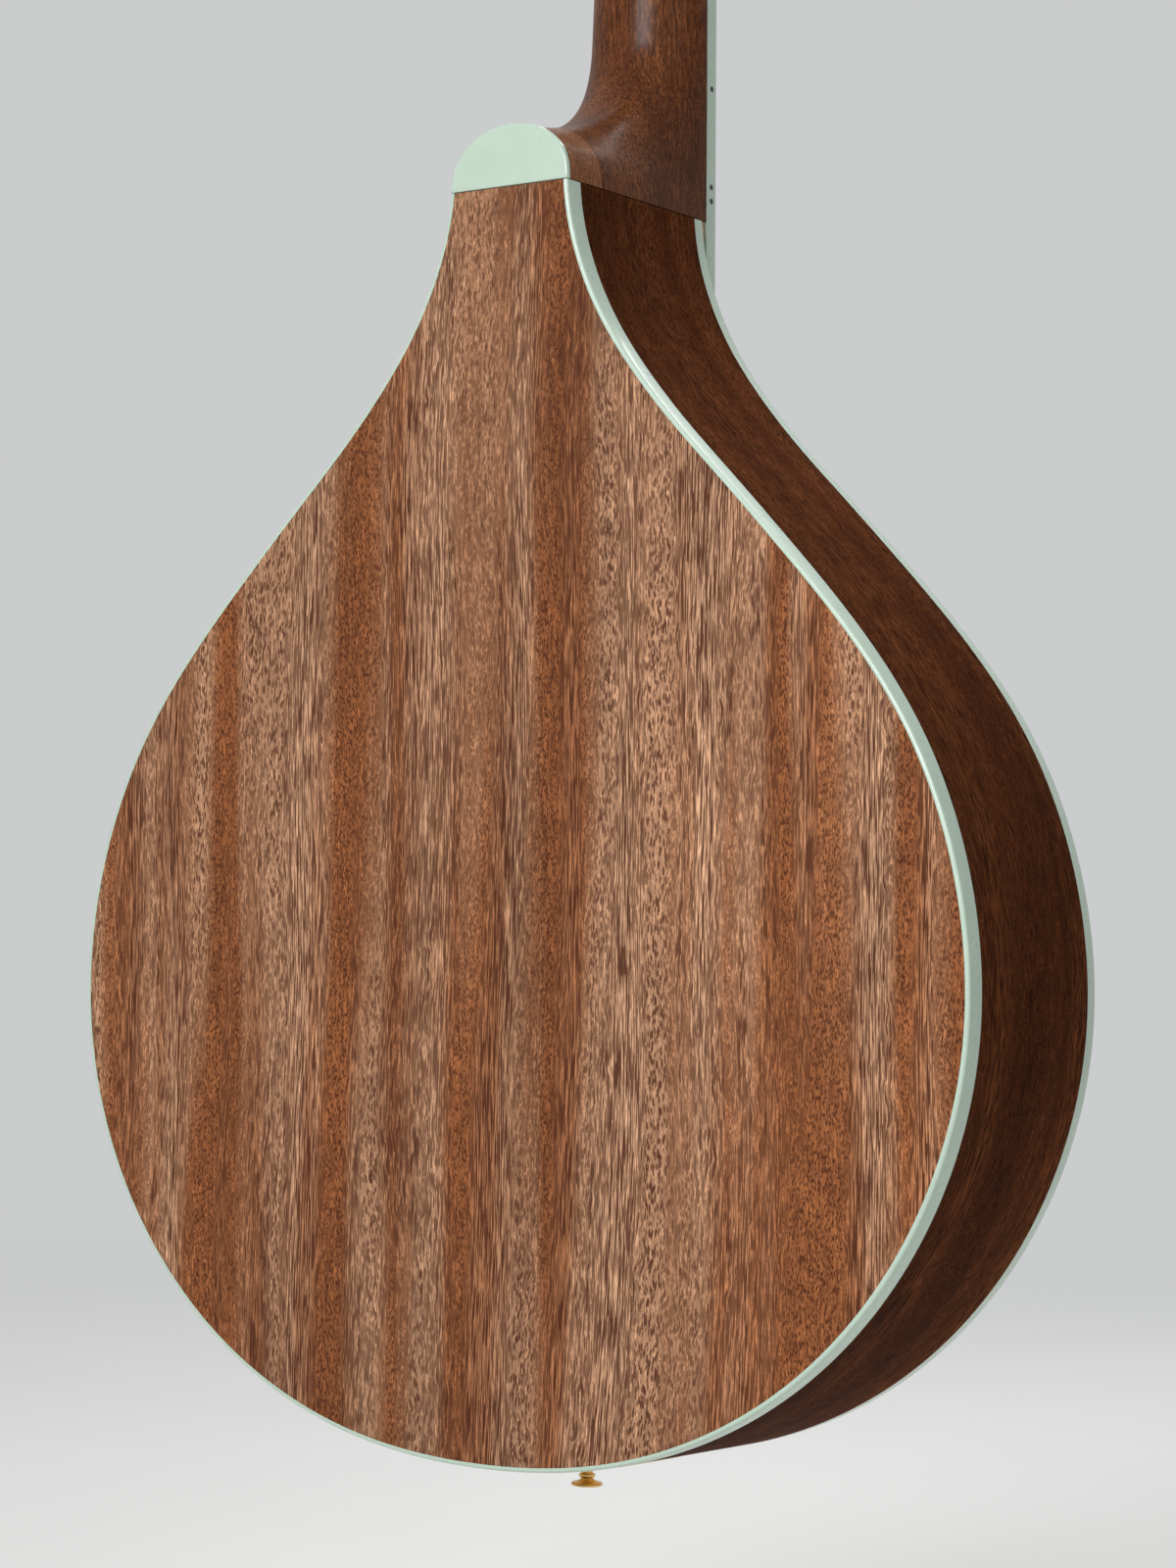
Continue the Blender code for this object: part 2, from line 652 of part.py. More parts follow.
def fingerboard_half_width(z):
    """Half the fingerboard's width: straight taper from the nut to the body joint and on."""
    slope = (HEEL_HALF_WIDTH - NUT_WIDTH / 2) / (NUT_Z - BODY_JOINT_Z)
    return NUT_WIDTH / 2 + slope * (NUT_Z - z)


def neck_ring(z, back_y, back_half, front_half):
    """One level of the neck: flat front, flat back of a stated half width, sides swelling between."""
    front_y = NECK_FRONT_Y + GAP
    treble = []
    for k in range(8):
        t = k / 7
        x = back_half + (front_half - back_half) * math.sqrt(max(0.0, 1 - (1 - t) ** 2.2))
        y = back_y + (front_y - back_y) * (1 - math.cos(t * math.pi / 2)) ** 0.9
        treble.append((x, y))
    return [(x, y, z) for x, y in treble] + [(-x, y, z) for x, y in reversed(treble)]


def heel_levels():
    """(rise above the joint, back of the neck, half width of the flat at the back)."""
    cap_y = BACK_Y - HEEL_CAP_THICKNESS - GAP
    levels = []
    for share in (0.0, 0.35, 0.6, 0.8, 0.93, 0.99):
        levels.append((HEEL_CAP_HEIGHT * share, cap_y, HEEL_HALF_WIDTH * math.sqrt(1 - share ** 2.4)))
    neck_back = NECK_FRONT_Y + GAP + NECK_DEPTH_HEEL
    for share in (0.06, 0.2, 0.38, 0.58, 0.8, 1.0):
        rise = HEEL_CAP_HEIGHT + (HEEL_COVE_RISE - HEEL_CAP_HEIGHT) * share
        back = neck_back + (cap_y - neck_back) * (1 - math.sqrt(1 - (1 - share) ** 2.6))
        levels.append((rise, back, 0.0006))
    return levels


def make_neck(frame):
    rings = []
    for rise, back, flat in heel_levels():
        z = BODY_JOINT_Z + GAP + rise
        rings.append(neck_ring(z, back, max(flat, 0.0006), fingerboard_half_width(z)))
    for z, depth in (
        (NUT_Z - 0.12, (NECK_DEPTH_NUT + NECK_DEPTH_HEEL) / 2), (NUT_Z - 0.02, NECK_DEPTH_NUT),
        (NUT_Z, NECK_DEPTH_NUT + 0.0005), (NUT_Z + 0.012, NECK_DEPTH_NUT - 0.001),
    ):
        half = fingerboard_half_width(min(z, NUT_Z))
        rings.append(neck_ring(z, NECK_FRONT_Y + GAP + depth, 0.0006, half))
    neck = loft("neck", rings, MAHOGANY)
    # the neck's front is planed away along the headstock's face
    plane = box("headstock_face_trim", (-0.1, -0.05, -0.0001), (0.1, 0.0, 0.06), MAHOGANY, frame)
    boolean(neck, as_cutter(plane), "DIFFERENCE", tolerant=True)
    slab = headstock_piece("headstock_slab", 0.0, HEADSTOCK_THICKNESS, 0.0, MAHOGANY, frame)
    boolean(neck, as_cutter(slab), "UNION", tolerant=True)
    split_y = BACK_Y - HEEL_CAP_THICKNESS - GAP - HEEL_BLOCK_DEPTH
    far = box("heel_block_space", (-0.1, split_y - GAP, BODY_JOINT_Z - 0.02),
              (0.1, BACK_Y + 0.02, BODY_JOINT_Z + 0.09), MAHOGANY)
    boolean(neck, as_cutter(far), "DIFFERENCE", tolerant=True)
    rings = [
        neck_ring(BODY_JOINT_Z + GAP + rise, back, max(flat, 0.0006),
                  fingerboard_half_width(BODY_JOINT_Z + GAP + rise))
        for rise, back, flat in heel_levels()[:9]
    ]
    block = loft("heel_block", rings, MAHOGANY)
    near = box("heel_block_share", (-0.1, split_y, BODY_JOINT_Z - 0.02),
               (0.1, BACK_Y + 0.02, BODY_JOINT_Z + 0.09), MAHOGANY)
    boolean(block, as_cutter(near), "INTERSECT")
    for k, depth in enumerate(NECK_BOLT_DEPTHS):
        y = BACK_Y - depth
        hole = as_cutter(keep(f"heel_bolt_hole_{k + 1}", rod_mesh(
            "hole", NECK_BOLT_RADIUS + GAP, (0, y, BODY_JOINT_Z - 0.01),
            (0, y, BODY_JOINT_Z + NECK_BOLT_REACH + GAP),
        ), MAHOGANY))
        boolean(neck, hole, "DIFFERENCE", tolerant=True)
        boolean(block, hole, "DIFFERENCE")
    make_truss_rod(neck, frame)
    make_heel_cap()
    return neck


def make_heel_cap():
    outline = [(HEEL_HALF_WIDTH, BODY_JOINT_Z + GAP), (-HEEL_HALF_WIDTH, BODY_JOINT_Z + GAP)]
    arc = []
    for k in range(1, 24):
        angle = math.pi * k / 24
        share = abs(math.cos(angle))
        arc.append((
            -HEEL_HALF_WIDTH * math.copysign(share, math.cos(angle)),
            BODY_JOINT_Z + GAP + HEEL_CAP_HEIGHT * (1 - share ** 2) ** (1 / 2.4),
        ))
    flat_piece("heel_cap", [outline + arc], BACK_Y - HEEL_CAP_THICKNESS, BACK_Y, IVORY_PLASTIC)


def make_truss_rod(neck, frame):
    middle = NECK_FRONT_Y + TRUSS_ROD_CENTRE
    half_w, half_h = TRUSS_ROD_WIDTH / 2, TRUSS_ROD_HEIGHT / 2
    low_z = BODY_JOINT_Z + 0.006
    nut_low = NUT_Z + 0.0015
    box("truss_rod", (-half_w, middle - half_h, low_z), (half_w, middle + half_h, nut_low - GAP), STEEL)
    slot = box(
        "truss_slot", (-half_w - GAP, NECK_FRONT_Y - 0.01, low_z - GAP),
        (half_w + GAP, middle + half_h + GAP, NUT_Z + 0.002), MAHOGANY,
    )
    boolean(neck, as_cutter(slot), "DIFFERENCE", tolerant=True)
    reach = TRUSS_NUT_RADIUS + TRUSS_CLEARANCE
    pocket = box(
        "truss_pocket", (-reach, -0.01, nut_low - 0.0005),
        (reach, middle + reach, nut_low + TRUSS_NUT_LENGTH + 0.004), MAHOGANY,
    )
    boolean(neck, as_cutter(pocket), "DIFFERENCE", tolerant=True)
    nut = keep("truss_rod_nut", rod_mesh(
        "truss_rod_nut", TRUSS_NUT_RADIUS, (0, 0, 0), (0, 0, TRUSS_NUT_LENGTH), 18,
    ), STEEL)
    nut.location = (0, middle, nut_low)
    socket = keep("truss_nut_socket", rod_mesh(
        "socket", TRUSS_NUT_RADIUS * 0.5, (0, middle, nut_low + TRUSS_NUT_LENGTH * 0.5),
        (0, middle, nut_low + TRUSS_NUT_LENGTH + 0.002), 6,
    ), STEEL)
    boolean(nut, as_cutter(socket), "DIFFERENCE")


def headstock_outline(inset, start):
    """The headstock's outline from the nut up, in its own frame."""
    root = NUT_WIDTH / 2 - inset
    wide = HEADSTOCK_HALF_WIDTH - inset
    top = HEADSTOCK_LENGTH - inset
    points = [(root, start)]
    for k in range(7):
        t = k / 6
        blend = (1 - math.cos(math.pi * t)) / 2
        points.append((root + (wide - root) * blend, SHOULDER_LOW + (SHOULDER_HIGH - SHOULDER_LOW) * t))
    points.append((wide, top - 0.018))
    for k in range(1, 7):
        angle = math.pi / 2 * k / 6
        points.append((wide - 0.012 * (1 - math.cos(angle)), top - 0.018 + 0.010 * math.sin(angle)))
    for x in (0.015, 0.008):
        points.append((x, top - 0.008 + 0.008 * math.cos(x / (wide - 0.012) * math.pi / 2)))
    points.append((0.0, top))
    return points + [(-x, z) for x, z in reversed(points[:-1])]


def headstock_piece(name, y_front, y_back, start, material, frame):
    piece = flat_piece(name, [headstock_outline(0.0, start)], y_front, y_back, material, frame)
    for side in (-1, 1):
        for k in range(4):
            x, z = side * POST_X, FIRST_POST_Z + k * POST_PITCH
            bore = rod_mesh(
                "bore", POST_RADIUS + BORE_CLEARANCE, (x, y_front - 0.005, z), (x, y_back + 0.005, z), 10,
            )
            hole = as_cutter(keep(f"{name}_bore_{side}_{k}", bore, material, frame))
            boolean(piece, hole, "DIFFERENCE")
    return piece


def make_headstock_front(frame):
    start = NUT_LENGTH + GAP
    veneer = headstock_piece(
        "headstock_veneer", -GAP - VENEER_THICKNESS, -GAP, start, ROSEWOOD, frame,
    )
    reach = TRUSS_NUT_RADIUS + TRUSS_CLEARANCE
    window = as_cutter(box(
        "veneer_window", (-reach, -0.01, start - 0.002), (reach, 0.01, TRUSS_POCKET_LENGTH), ROSEWOOD, frame,
    ))
    boolean(veneer, window, "DIFFERENCE")
    w, start_z = TRUSS_COVER_HALF_WIDTH, NUT_LENGTH + 2 * GAP
    top = start_z + TRUSS_COVER_LENGTH
    outline = [(-w, start_z), (w, start_z), (w, start_z + 0.010)]
    for k in range(1, 6):
        t = k / 6
        outline.append((w * (1 - t ** 1.6) + 0.002 * t, start_z + 0.010 + (TRUSS_COVER_LENGTH - 0.010) * t))
    outline.append((0.0, top))
    outline += [(-x, z) for x, z in reversed(outline[3:-1])] + [(-w, start_z + 0.010)]
    front = -2 * GAP - VENEER_THICKNESS
    flat_piece("truss_rod_cover", [outline], front - TRUSS_COVER_THICKNESS, front, BLACK, frame)


def make_fingerboard():
    front = NECK_FRONT_Y - FINGERBOARD_THICKNESS
    top_half = fingerboard_half_width(NUT_Z)
    low_half = fingerboard_half_width(FINGERBOARD_END_Z)
    strip = FINGERBOARD_BINDING
    outer = [
        (-top_half, NUT_Z), (-low_half, FINGERBOARD_END_Z), (low_half, FINGERBOARD_END_Z), (top_half, NUT_Z),
        (top_half - strip, NUT_Z), (low_half - strip, FINGERBOARD_END_Z + strip),
        (-low_half + strip, FINGERBOARD_END_Z + strip), (-top_half + strip, NUT_Z),
    ]
    flat_piece("fingerboard_binding", [outer], front, NECK_FRONT_Y, IVORY_PLASTIC)
    inner = strip + GAP
    core = [
        (-top_half + inner, NUT_Z), (-low_half + inner, FINGERBOARD_END_Z + inner),
        (low_half - inner, FINGERBOARD_END_Z + inner), (top_half - inner, NUT_Z),
    ]
    board = flat_piece("fingerboard", [core], front, NECK_FRONT_Y, ROSEWOOD)
    for number in range(1, LAST_FRET + 1):
        z = NUT_Z - SCALE_LENGTH * (1 - 2 ** (-number / 12))
        half = fingerboard_half_width(z) - inner - 0.0003
        section = [
            (FRET_WIDTH / 2 * math.cos(a), FRET_HEIGHT * math.sin(a))
            for a in np.linspace(0, math.pi, 5)
        ]
        section += [(-FRET_WIDTH / 2, -0.0005), (FRET_WIDTH / 2, -0.0005)]
        rings = [[(x, front - rise, z + along) for along, rise in section] for x in (-half, half)]
        fret = as_cutter(loft(f"fret_{number}", rings, STEEL))
        boolean(board, fret, "UNION")
    make_fingerboard_support()
    make_nut()


def make_fingerboard_support():
    """The thin wedge of wood that carries the fingerboard's end over the soundboard."""
    end_z = FINGERBOARD_END_Z + SUPPORT_INSET
    joint_half = fingerboard_half_width(BODY_JOINT_Z) - SUPPORT_INSET
    end_half = fingerboard_half_width(FINGERBOARD_END_Z) - SUPPORT_INSET
    outline = [(-joint_half, BODY_JOINT_Z), (-end_half, end_z), (end_half, end_z), (joint_half, BODY_JOINT_Z)]
    flat_piece("fingerboard_support", [outline], NECK_FRONT_Y + GAP, SOUNDBOARD_Y - GAP, LIGHT_WOOD)


def make_nut():
    nut_front = NUT_STRING_Y + STRING_DIAMETERS[0] / 2 + GAP
    half = NUT_WIDTH / 2
    profile = [
        (NECK_FRONT_Y, NUT_Z + GAP), (nut_front, NUT_Z + GAP), (nut_front, NUT_Z + NUT_LENGTH * 0.5),
        (nut_front + NUT_SLOPE, NUT_Z + NUT_LENGTH), (NECK_FRONT_Y, NUT_Z + NUT_LENGTH),
    ]
    loft("nut", [[(x, y, z) for y, z in profile] for x in (-half, half)], BONE)


def course_places(spread, pair):
    """The eight strings across, bass first, as x."""
    places = []
    for course in range(4):
        middle = -spread + 2 * spread * course / 3
        places += [middle - pair / 2, middle + pair / 2]
    return places


def make_bridge():
    top = SOUNDBOARD_Y - GAP
    saddle_top = SADDLE_STRING_Y + STRING_DIAMETERS[0] / 2 + GAP
    length, half_foot = BRIDGE_HALF_LENGTH, BRIDGE_FOOT
    inner_foot = length - half_foot
    shoulder = SADDLE_HALF_LENGTH + 0.004
    profile = [(-length, top), (-length, top - 0.0035)]
    profile += [(-shoulder, top - BRIDGE_HEIGHT), (shoulder, top - BRIDGE_HEIGHT)]
    profile += [(length, top - 0.0035), (length, top)]
    profile += [(inner_foot, top), (inner_foot - 0.006, top - BRIDGE_ARCH)]
    profile += [(-inner_foot + 0.006, top - BRIDGE_ARCH), (-inner_foot, top)]
    half_t = BRIDGE_THICKNESS / 2
    rings = [[(x, y, BRIDGE_Z + side * half_t) for x, y in profile] for side in (-1, 1)]
    bridge = loft("bridge", rings, ROSEWOOD)
    floor = top - BRIDGE_HEIGHT + SADDLE_DEPTH
    slot = box(
        "saddle_slot", (-SADDLE_HALF_LENGTH - GAP, top - 0.03, BRIDGE_Z - SADDLE_THICKNESS / 2 - GAP),
        (SADDLE_HALF_LENGTH + GAP, floor + GAP, BRIDGE_Z + SADDLE_THICKNESS / 2 + GAP), ROSEWOOD,
    )
    boolean(bridge, as_cutter(slot), "DIFFERENCE")
    box("saddle", (-SADDLE_HALF_LENGTH, saddle_top, BRIDGE_Z - SADDLE_THICKNESS / 2),
        (SADDLE_HALF_LENGTH, floor, BRIDGE_Z + SADDLE_THICKNESS / 2), BONE)


HOOK_Z = TAIL_Z + 0.036
PLATE_TOP_Y = SOUNDBOARD_Y - TAILPIECE_RISE
TAIL_STRING_Y = PLATE_TOP_Y - 0.0020


def make_tailpiece():
    """A folded plate: over the tail's edge and down the end, with eight hooks for the loops."""
    w, t = TAILPIECE_HALF_WIDTH, TAILPIECE_METAL
    end = TAIL_Z - GAP
    depth = SOUNDBOARD_Y + TAILPIECE_END_DEPTH
    rise = PLATE_TOP_Y
    profile = [
        (rise, TAIL_Z + TAILPIECE_LENGTH), (rise, end - t), (depth, end - t), (depth, end),
        (SOUNDBOARD_Y - 0.001, end), (rise + t, TAIL_Z + 0.004), (rise + t, TAIL_Z + TAILPIECE_LENGTH),
    ]
    rings = [[(x, y, z) for y, z in profile] for x in (-w, w)]
    plate = loft("tailpiece", rings, GOLD)
    for number, x in enumerate(course_places(COURSE_SPREAD_BRIDGE * 0.80, PAIR_SPACING_BRIDGE)):
        z = HOOK_Z - HOOK_RADIUS - GAP
        hook = as_cutter(keep(f"hook_{number + 1}", rod_mesh(
            "hook", HOOK_RADIUS, (x, rise + t / 3, z), (x, rise - HOOK_HEIGHT, z), 8, math.pi / 8,
        ), GOLD))
        boolean(plate, hook, "UNION")
    y = SOUNDBOARD_Y + STRAP_BUTTON_DEPTH
    bore = as_cutter(keep("tailpiece_bore", rod_mesh(
        "bore", STRAP_SCREW_RADIUS + GAP, (0, y, end - 0.01), (0, y, end + 0.01), 12,
    ), GOLD))
    boolean(plate, bore, "DIFFERENCE")


def make_strap_button():
    """A turned button with two beads and a flared end, its screw running into the tail block."""
    seat = TAIL_Z - GAP - TAILPIECE_METAL - GAP
    y = SOUNDBOARD_Y + STRAP_BUTTON_DEPTH
    reach, screw = STRAP_SCREW_REACH, STRAP_SCREW_RADIUS
    r, length = STRAP_BUTTON_RADIUS, STRAP_BUTTON_LENGTH
    profile = [
        (0.0, reach), (screw, reach - 0.001), (screw, 0.0), (r * 0.72, 0.0), (r * 0.70, -length * 0.15),
        (r * 0.42, -length * 0.31), (r * 0.50, -length * 0.40), (r * 0.36, -length * 0.52),
        (r * 0.52, -length * 0.62), (r * 0.38, -length * 0.74), (r * 0.75, -length * 0.86),
        (r, -length * 0.93), (r, -length), (0.0, -length),
    ]
    turned("strap_button", profile, Matrix.Translation((0, y, seat)), GOLD, steps=14)
    for name in ("tail_block", "top_lining", "side_bass", "side_treble"):
        hole = as_cutter(keep(f"{name}_screw_hole", rod_mesh(
            "hole", screw + GAP, (0, y, seat - 0.004), (0, y, seat + reach + GAP), 12,
        ), MAHOGANY))
        boolean(bpy.data.objects[name], hole, "DIFFERENCE")


def gear_mesh():
    """A worm wheel on the Y axis, its teeth slanted to the worm's lead, a tooth space facing +Z."""
    outer = GEAR_PITCH_RADIUS + GEAR_MODULE - 0.0001
    root = GEAR_PITCH_RADIUS - 1.3 * GEAR_MODULE
    pitch_angle = 2 * math.pi / GEAR_TEETH
    root_half = (WORM_PITCH * 0.66 - GEAR_BACKLASH / 2) / 2 / root
    tip_half = (WORM_PITCH * 0.30 - GEAR_BACKLASH / 2) / 2 / outer
    twist = GEAR_THICKNESS / 2 * WORM_PITCH / (2 * math.pi * WORM_PITCH_RADIUS) / GEAR_PITCH_RADIUS
    rings = []
    for side in (-1, 1):
        ring = []
        for tooth in range(GEAR_TEETH):
            middle = (tooth + 0.5) * pitch_angle + side * twist
            for radius, turn in (
                (root, -root_half), (outer, -tip_half), (outer, tip_half), (root, root_half),
            ):
                angle = middle + turn
                ring.append((radius * math.sin(angle), side * GEAR_THICKNESS / 2, radius * math.cos(angle)))
        rings.append(ring)
    return skinned_mesh("gear", rings)


def worm_thread_mesh():
    """The worm's thread: a trapezoid spun along the X axis, its crest facing -Z at x = 0."""
    root = WORM_PITCH_RADIUS - 1.25 * GEAR_MODULE - 0.0002
    tip = WORM_PITCH_RADIUS + 0.9 * GEAR_MODULE
    root_half = (WORM_PITCH * 0.66 - GEAR_BACKLASH) / 2
    tip_half = (WORM_PITCH * 0.26 - GEAR_BACKLASH / 2) / 2
    start = -WORM_PITCH * WORM_TURNS / 2
    start_way = -1 if WORM_TURNS % 2 == 0 else 1
    bm = bmesh.new()
    corners = [(start - root_half, root), (start - tip_half, tip)]
    corners += [(start + tip_half, tip), (start + root_half, root)]
    bm.faces.new([bm.verts.new((x, 0, start_way * radius)) for x, radius in corners])
    bmesh.ops.spin(
        bm, geom=bm.verts[:] + bm.edges[:] + bm.faces[:], cent=(0, 0, 0), axis=(1, 0, 0),
        dvec=(WORM_PITCH / WORM_STEPS, 0, 0), angle=2 * math.pi * WORM_TURNS,
        steps=WORM_STEPS * WORM_TURNS, use_merge=False, use_duplicate=False,
    )
    return mesh_from(bm, "worm_thread")


def button_mesh():
    """The pressed-on button: an oval that swells from its neck, along +X."""
    rings = []
    for share, swell in ((0.0, 0.42), (0.14, 0.50), (0.35, 0.86), (0.62, 1.0), (0.86, 0.86), (1.0, 0.45)):
        x = BUTTON_START_X - POST_X + BUTTON_LENGTH * share
        half = BUTTON_HALF_THICKNESS * (0.55 + 0.45 * swell)
        rings.append([
            (x, half * math.sin(a), BUTTON_HALF_WIDTH * swell * math.cos(a))
            for a in np.linspace(0, 2 * math.pi, BUTTON_SIDES, endpoint=False)
        ])
    return skinned_mesh("button", rings)


def knob_mesh():
    """Worm, shaft and button in one, along X from the worm's middle, before it is placed."""
    core = keep("knob_core", rod_mesh(
        "core", WORM_PITCH_RADIUS - 1.2 * GEAR_MODULE, (-WORM_PITCH * 1.9, 0, 0), (WORM_PITCH * 1.9, 0, 0),
        8, 0.11,
    ), GOLD)
    thread = as_cutter(keep("knob_thread", worm_thread_mesh(), GOLD))
    boolean(core, thread, "UNION")
    inner_end = EAR_INNER_X - POST_X - 0.0012
    shaft = as_cutter(keep("knob_shaft", rod_mesh(
        "shaft", SHAFT_RADIUS, (inner_end, 0, 0), (BUTTON_START_X - POST_X + 0.004, 0, 0), 8, 0.23,
    ), GOLD))
    boolean(core, shaft, "UNION")
    button = as_cutter(keep("knob_button", button_mesh(), IVORY_PLASTIC))
    boolean(core, button, "UNION")
    return applied_mesh(core)


def tube_mesh(name, points, radius, resolution):
    curve = bpy.data.curves.new(name, "CURVE")
    curve.dimensions = "3D"
    curve.bevel_depth = radius
    curve.bevel_resolution = resolution
    curve.use_fill_caps = True
    spline = curve.splines.new("POLY")
    spline.points.add(len(points) - 1)
    for point, place in zip(spline.points, points):
        point.co = (*place, 1)
    drawn = bpy.data.objects.new(name, curve)
    CUTTERS.objects.link(drawn)
    graph = bpy.context.evaluated_depsgraph_get()
    mesh = bpy.data.meshes.new_from_object(drawn.evaluated_get(graph))
    bpy.data.objects.remove(drawn, do_unlink=True)
    bm = bmesh.new()
    bm.from_mesh(mesh)
    bmesh.ops.remove_doubles(bm, verts=bm.verts[:], dist=1e-6)
    bmesh.ops.recalc_face_normals(bm, faces=bm.faces[:])
    bm.to_mesh(mesh)
    bm.free()
    return mesh


def post_profile():
    """The string post, from its front end down to the gear's seat: heights along -Y of the headstock."""
    front = VENEER_THICKNESS + GAP + POST_RISE
    back = -(GEAR_MIDDLE_Y - GEAR_THICKNESS / 2 + 0.0004)
    waist_top = front - POST_HEAD
    waist_low = waist_top - POST_WAIST_LENGTH
    r, waist, slope = POST_RADIUS, POST_WAIST_RADIUS, POST_RADIUS - POST_WAIST_RADIUS
    return [
        (0.0, front), (r * 0.8, front), (r, front - 0.0008), (r, waist_top + slope), (waist, waist_top),
        (waist, waist_low), (r, waist_low - slope), (r, back), (0.0, back),
    ]


def post_number(side, k):
    """Machines 1 to 4 are the bass side from the nut up, 5 to 8 the treble side."""
    return k + 1 if side < 0 else k + 5


def string_of(side, k):
    """Which string, counted from the bass, winds on a post: outer courses go to the lower posts."""
    return k if side < 0 else 7 - k


def make_machines(frame):
    knob = knob_mesh()
    gear = gear_mesh()
    for side in (-1, 1):
        place_side = Matrix.Rotation(math.pi, 4, "Z") if side < 0 else Matrix.Identity(4)
        make_tuner_plate(side, frame)
        for k in range(4):
            number = post_number(side, k)
            x, z = side * POST_X, FIRST_POST_Z + k * POST_PITCH
            piece = keep(f"tuner_knob_{number}", knob.copy(), GOLD, frame)
            piece.matrix_local = Matrix.Translation((x, GEAR_MIDDLE_Y, z + WORM_OFFSET)) @ place_side
            upright = Matrix.Rotation(math.pi / 2, 4, "X")
            drawn = turned("post", post_profile(), upright, GOLD, frame, POST_SIDES)
            post = keep(f"tuner_post_{number}", applied_mesh(drawn), GOLD, frame)
            post.location = (x, 0, z)
            wheel = as_cutter(keep(f"gear_{number}", gear.copy(), GOLD, frame))
            wheel.location = (x, GEAR_MIDDLE_Y, z)
            boolean(post, wheel, "UNION")


def make_tuner_plate(side, frame):
    """A strip with four pairs of ears that carry the worms' shafts."""
    name = "tuner_plate_bass" if side < 0 else "tuner_plate_treble"
    low_z = FIRST_POST_Z - PLATE_MARGIN
    high_z = FIRST_POST_Z + 3 * POST_PITCH + PLATE_MARGIN + WORM_OFFSET
    seat = HEADSTOCK_THICKNESS + GAP
    xs = sorted((side * PLATE_INNER_X, side * PLATE_OUTER_X))
    plate = box(name, (xs[0], seat, low_z), (xs[1], seat + PLATE_METAL, high_z), GOLD, frame)
    for k in range(4):
        z = FIRST_POST_Z + k * POST_PITCH
        for ear_x in (EAR_INNER_X, EAR_OUTER_X):
            x = side * ear_x
            low = (x - EAR_THICKNESS / 2, seat + PLATE_METAL / 2, z + WORM_OFFSET - EAR_WIDTH / 2)
            high = (x + EAR_THICKNESS / 2, GEAR_MIDDLE_Y + EAR_RISE, z + WORM_OFFSET + EAR_WIDTH / 2)
            ear = box(f"{name}_ear_{k}_{ear_x}", low, high, GOLD, frame)
            boolean(plate, as_cutter(ear), "UNION")
        shaft_hole = as_cutter(keep(f"{name}_shaft_hole_{k}", rod_mesh(
            "hole", SHAFT_RADIUS + BORE_CLEARANCE,
            (side * (EAR_INNER_X - 0.003), GEAR_MIDDLE_Y, z + WORM_OFFSET),
            (side * (EAR_OUTER_X + 0.003), GEAR_MIDDLE_Y, z + WORM_OFFSET), 8, 0.2,
        ), GOLD, frame))
        boolean(plate, shaft_hole, "DIFFERENCE")
        post_hole = as_cutter(keep(f"{name}_post_hole_{k}", rod_mesh(
            "hole", POST_RADIUS + BORE_CLEARANCE, (side * POST_X, seat - 0.002, z),
            (side * POST_X, seat + PLATE_METAL + 0.002, z), 10,
        ), GOLD, frame))
        boolean(plate, post_hole, "DIFFERENCE")


def touch_angle(start, centre, radius, side):
    """Angle on a post's circle where a straight line from the nut touches its inner side."""
    dx, dz = start[0] - centre[0], start[1] - centre[1]
    middle = math.atan2(dz, dx)
    spread = math.acos(radius / math.hypot(dx, dz))
    return min((middle - spread, middle + spread), key=lambda angle: side * math.cos(angle))


def winding_route(start, centre, diameter, side):
    """A string's turns round its post in the headstock's frame, from the touching point to its end."""
    radius = POST_WAIST_RADIUS + GAP + diameter / 2
    pitch = diameter + WINDING_GAP
    first = touch_angle(start, centre, radius, side)
    waist_low_y = -(VENEER_THICKNESS + GAP + POST_RISE - POST_HEAD - POST_WAIST_LENGTH)
    low_y = waist_low_y - WINDING_GAP - diameter / 2 - pitch * WINDING_TURNS
    route = []
    for k in range(int(24 * WINDING_TURNS) + 1):
        angle = first + side * 2 * math.pi * k / 24
        x, z = centre[0] + radius * math.cos(angle), centre[1] + radius * math.sin(angle)
        route.append(Vector((x, low_y + pitch * k / 24, z)))
    return route


def report_winding_gap(number, route, diameter):
    """Prints the least gap of a winding to itself, measured on its points."""
    points = np.array(route)
    least = min(
        np.linalg.norm(points[k] - points[j])
        for k in range(len(points)) for j in range(k + 12, len(points))
    ) - diameter
    print(f"string {number}: least gap of its winding to itself {least * 1000:.2f} mm")


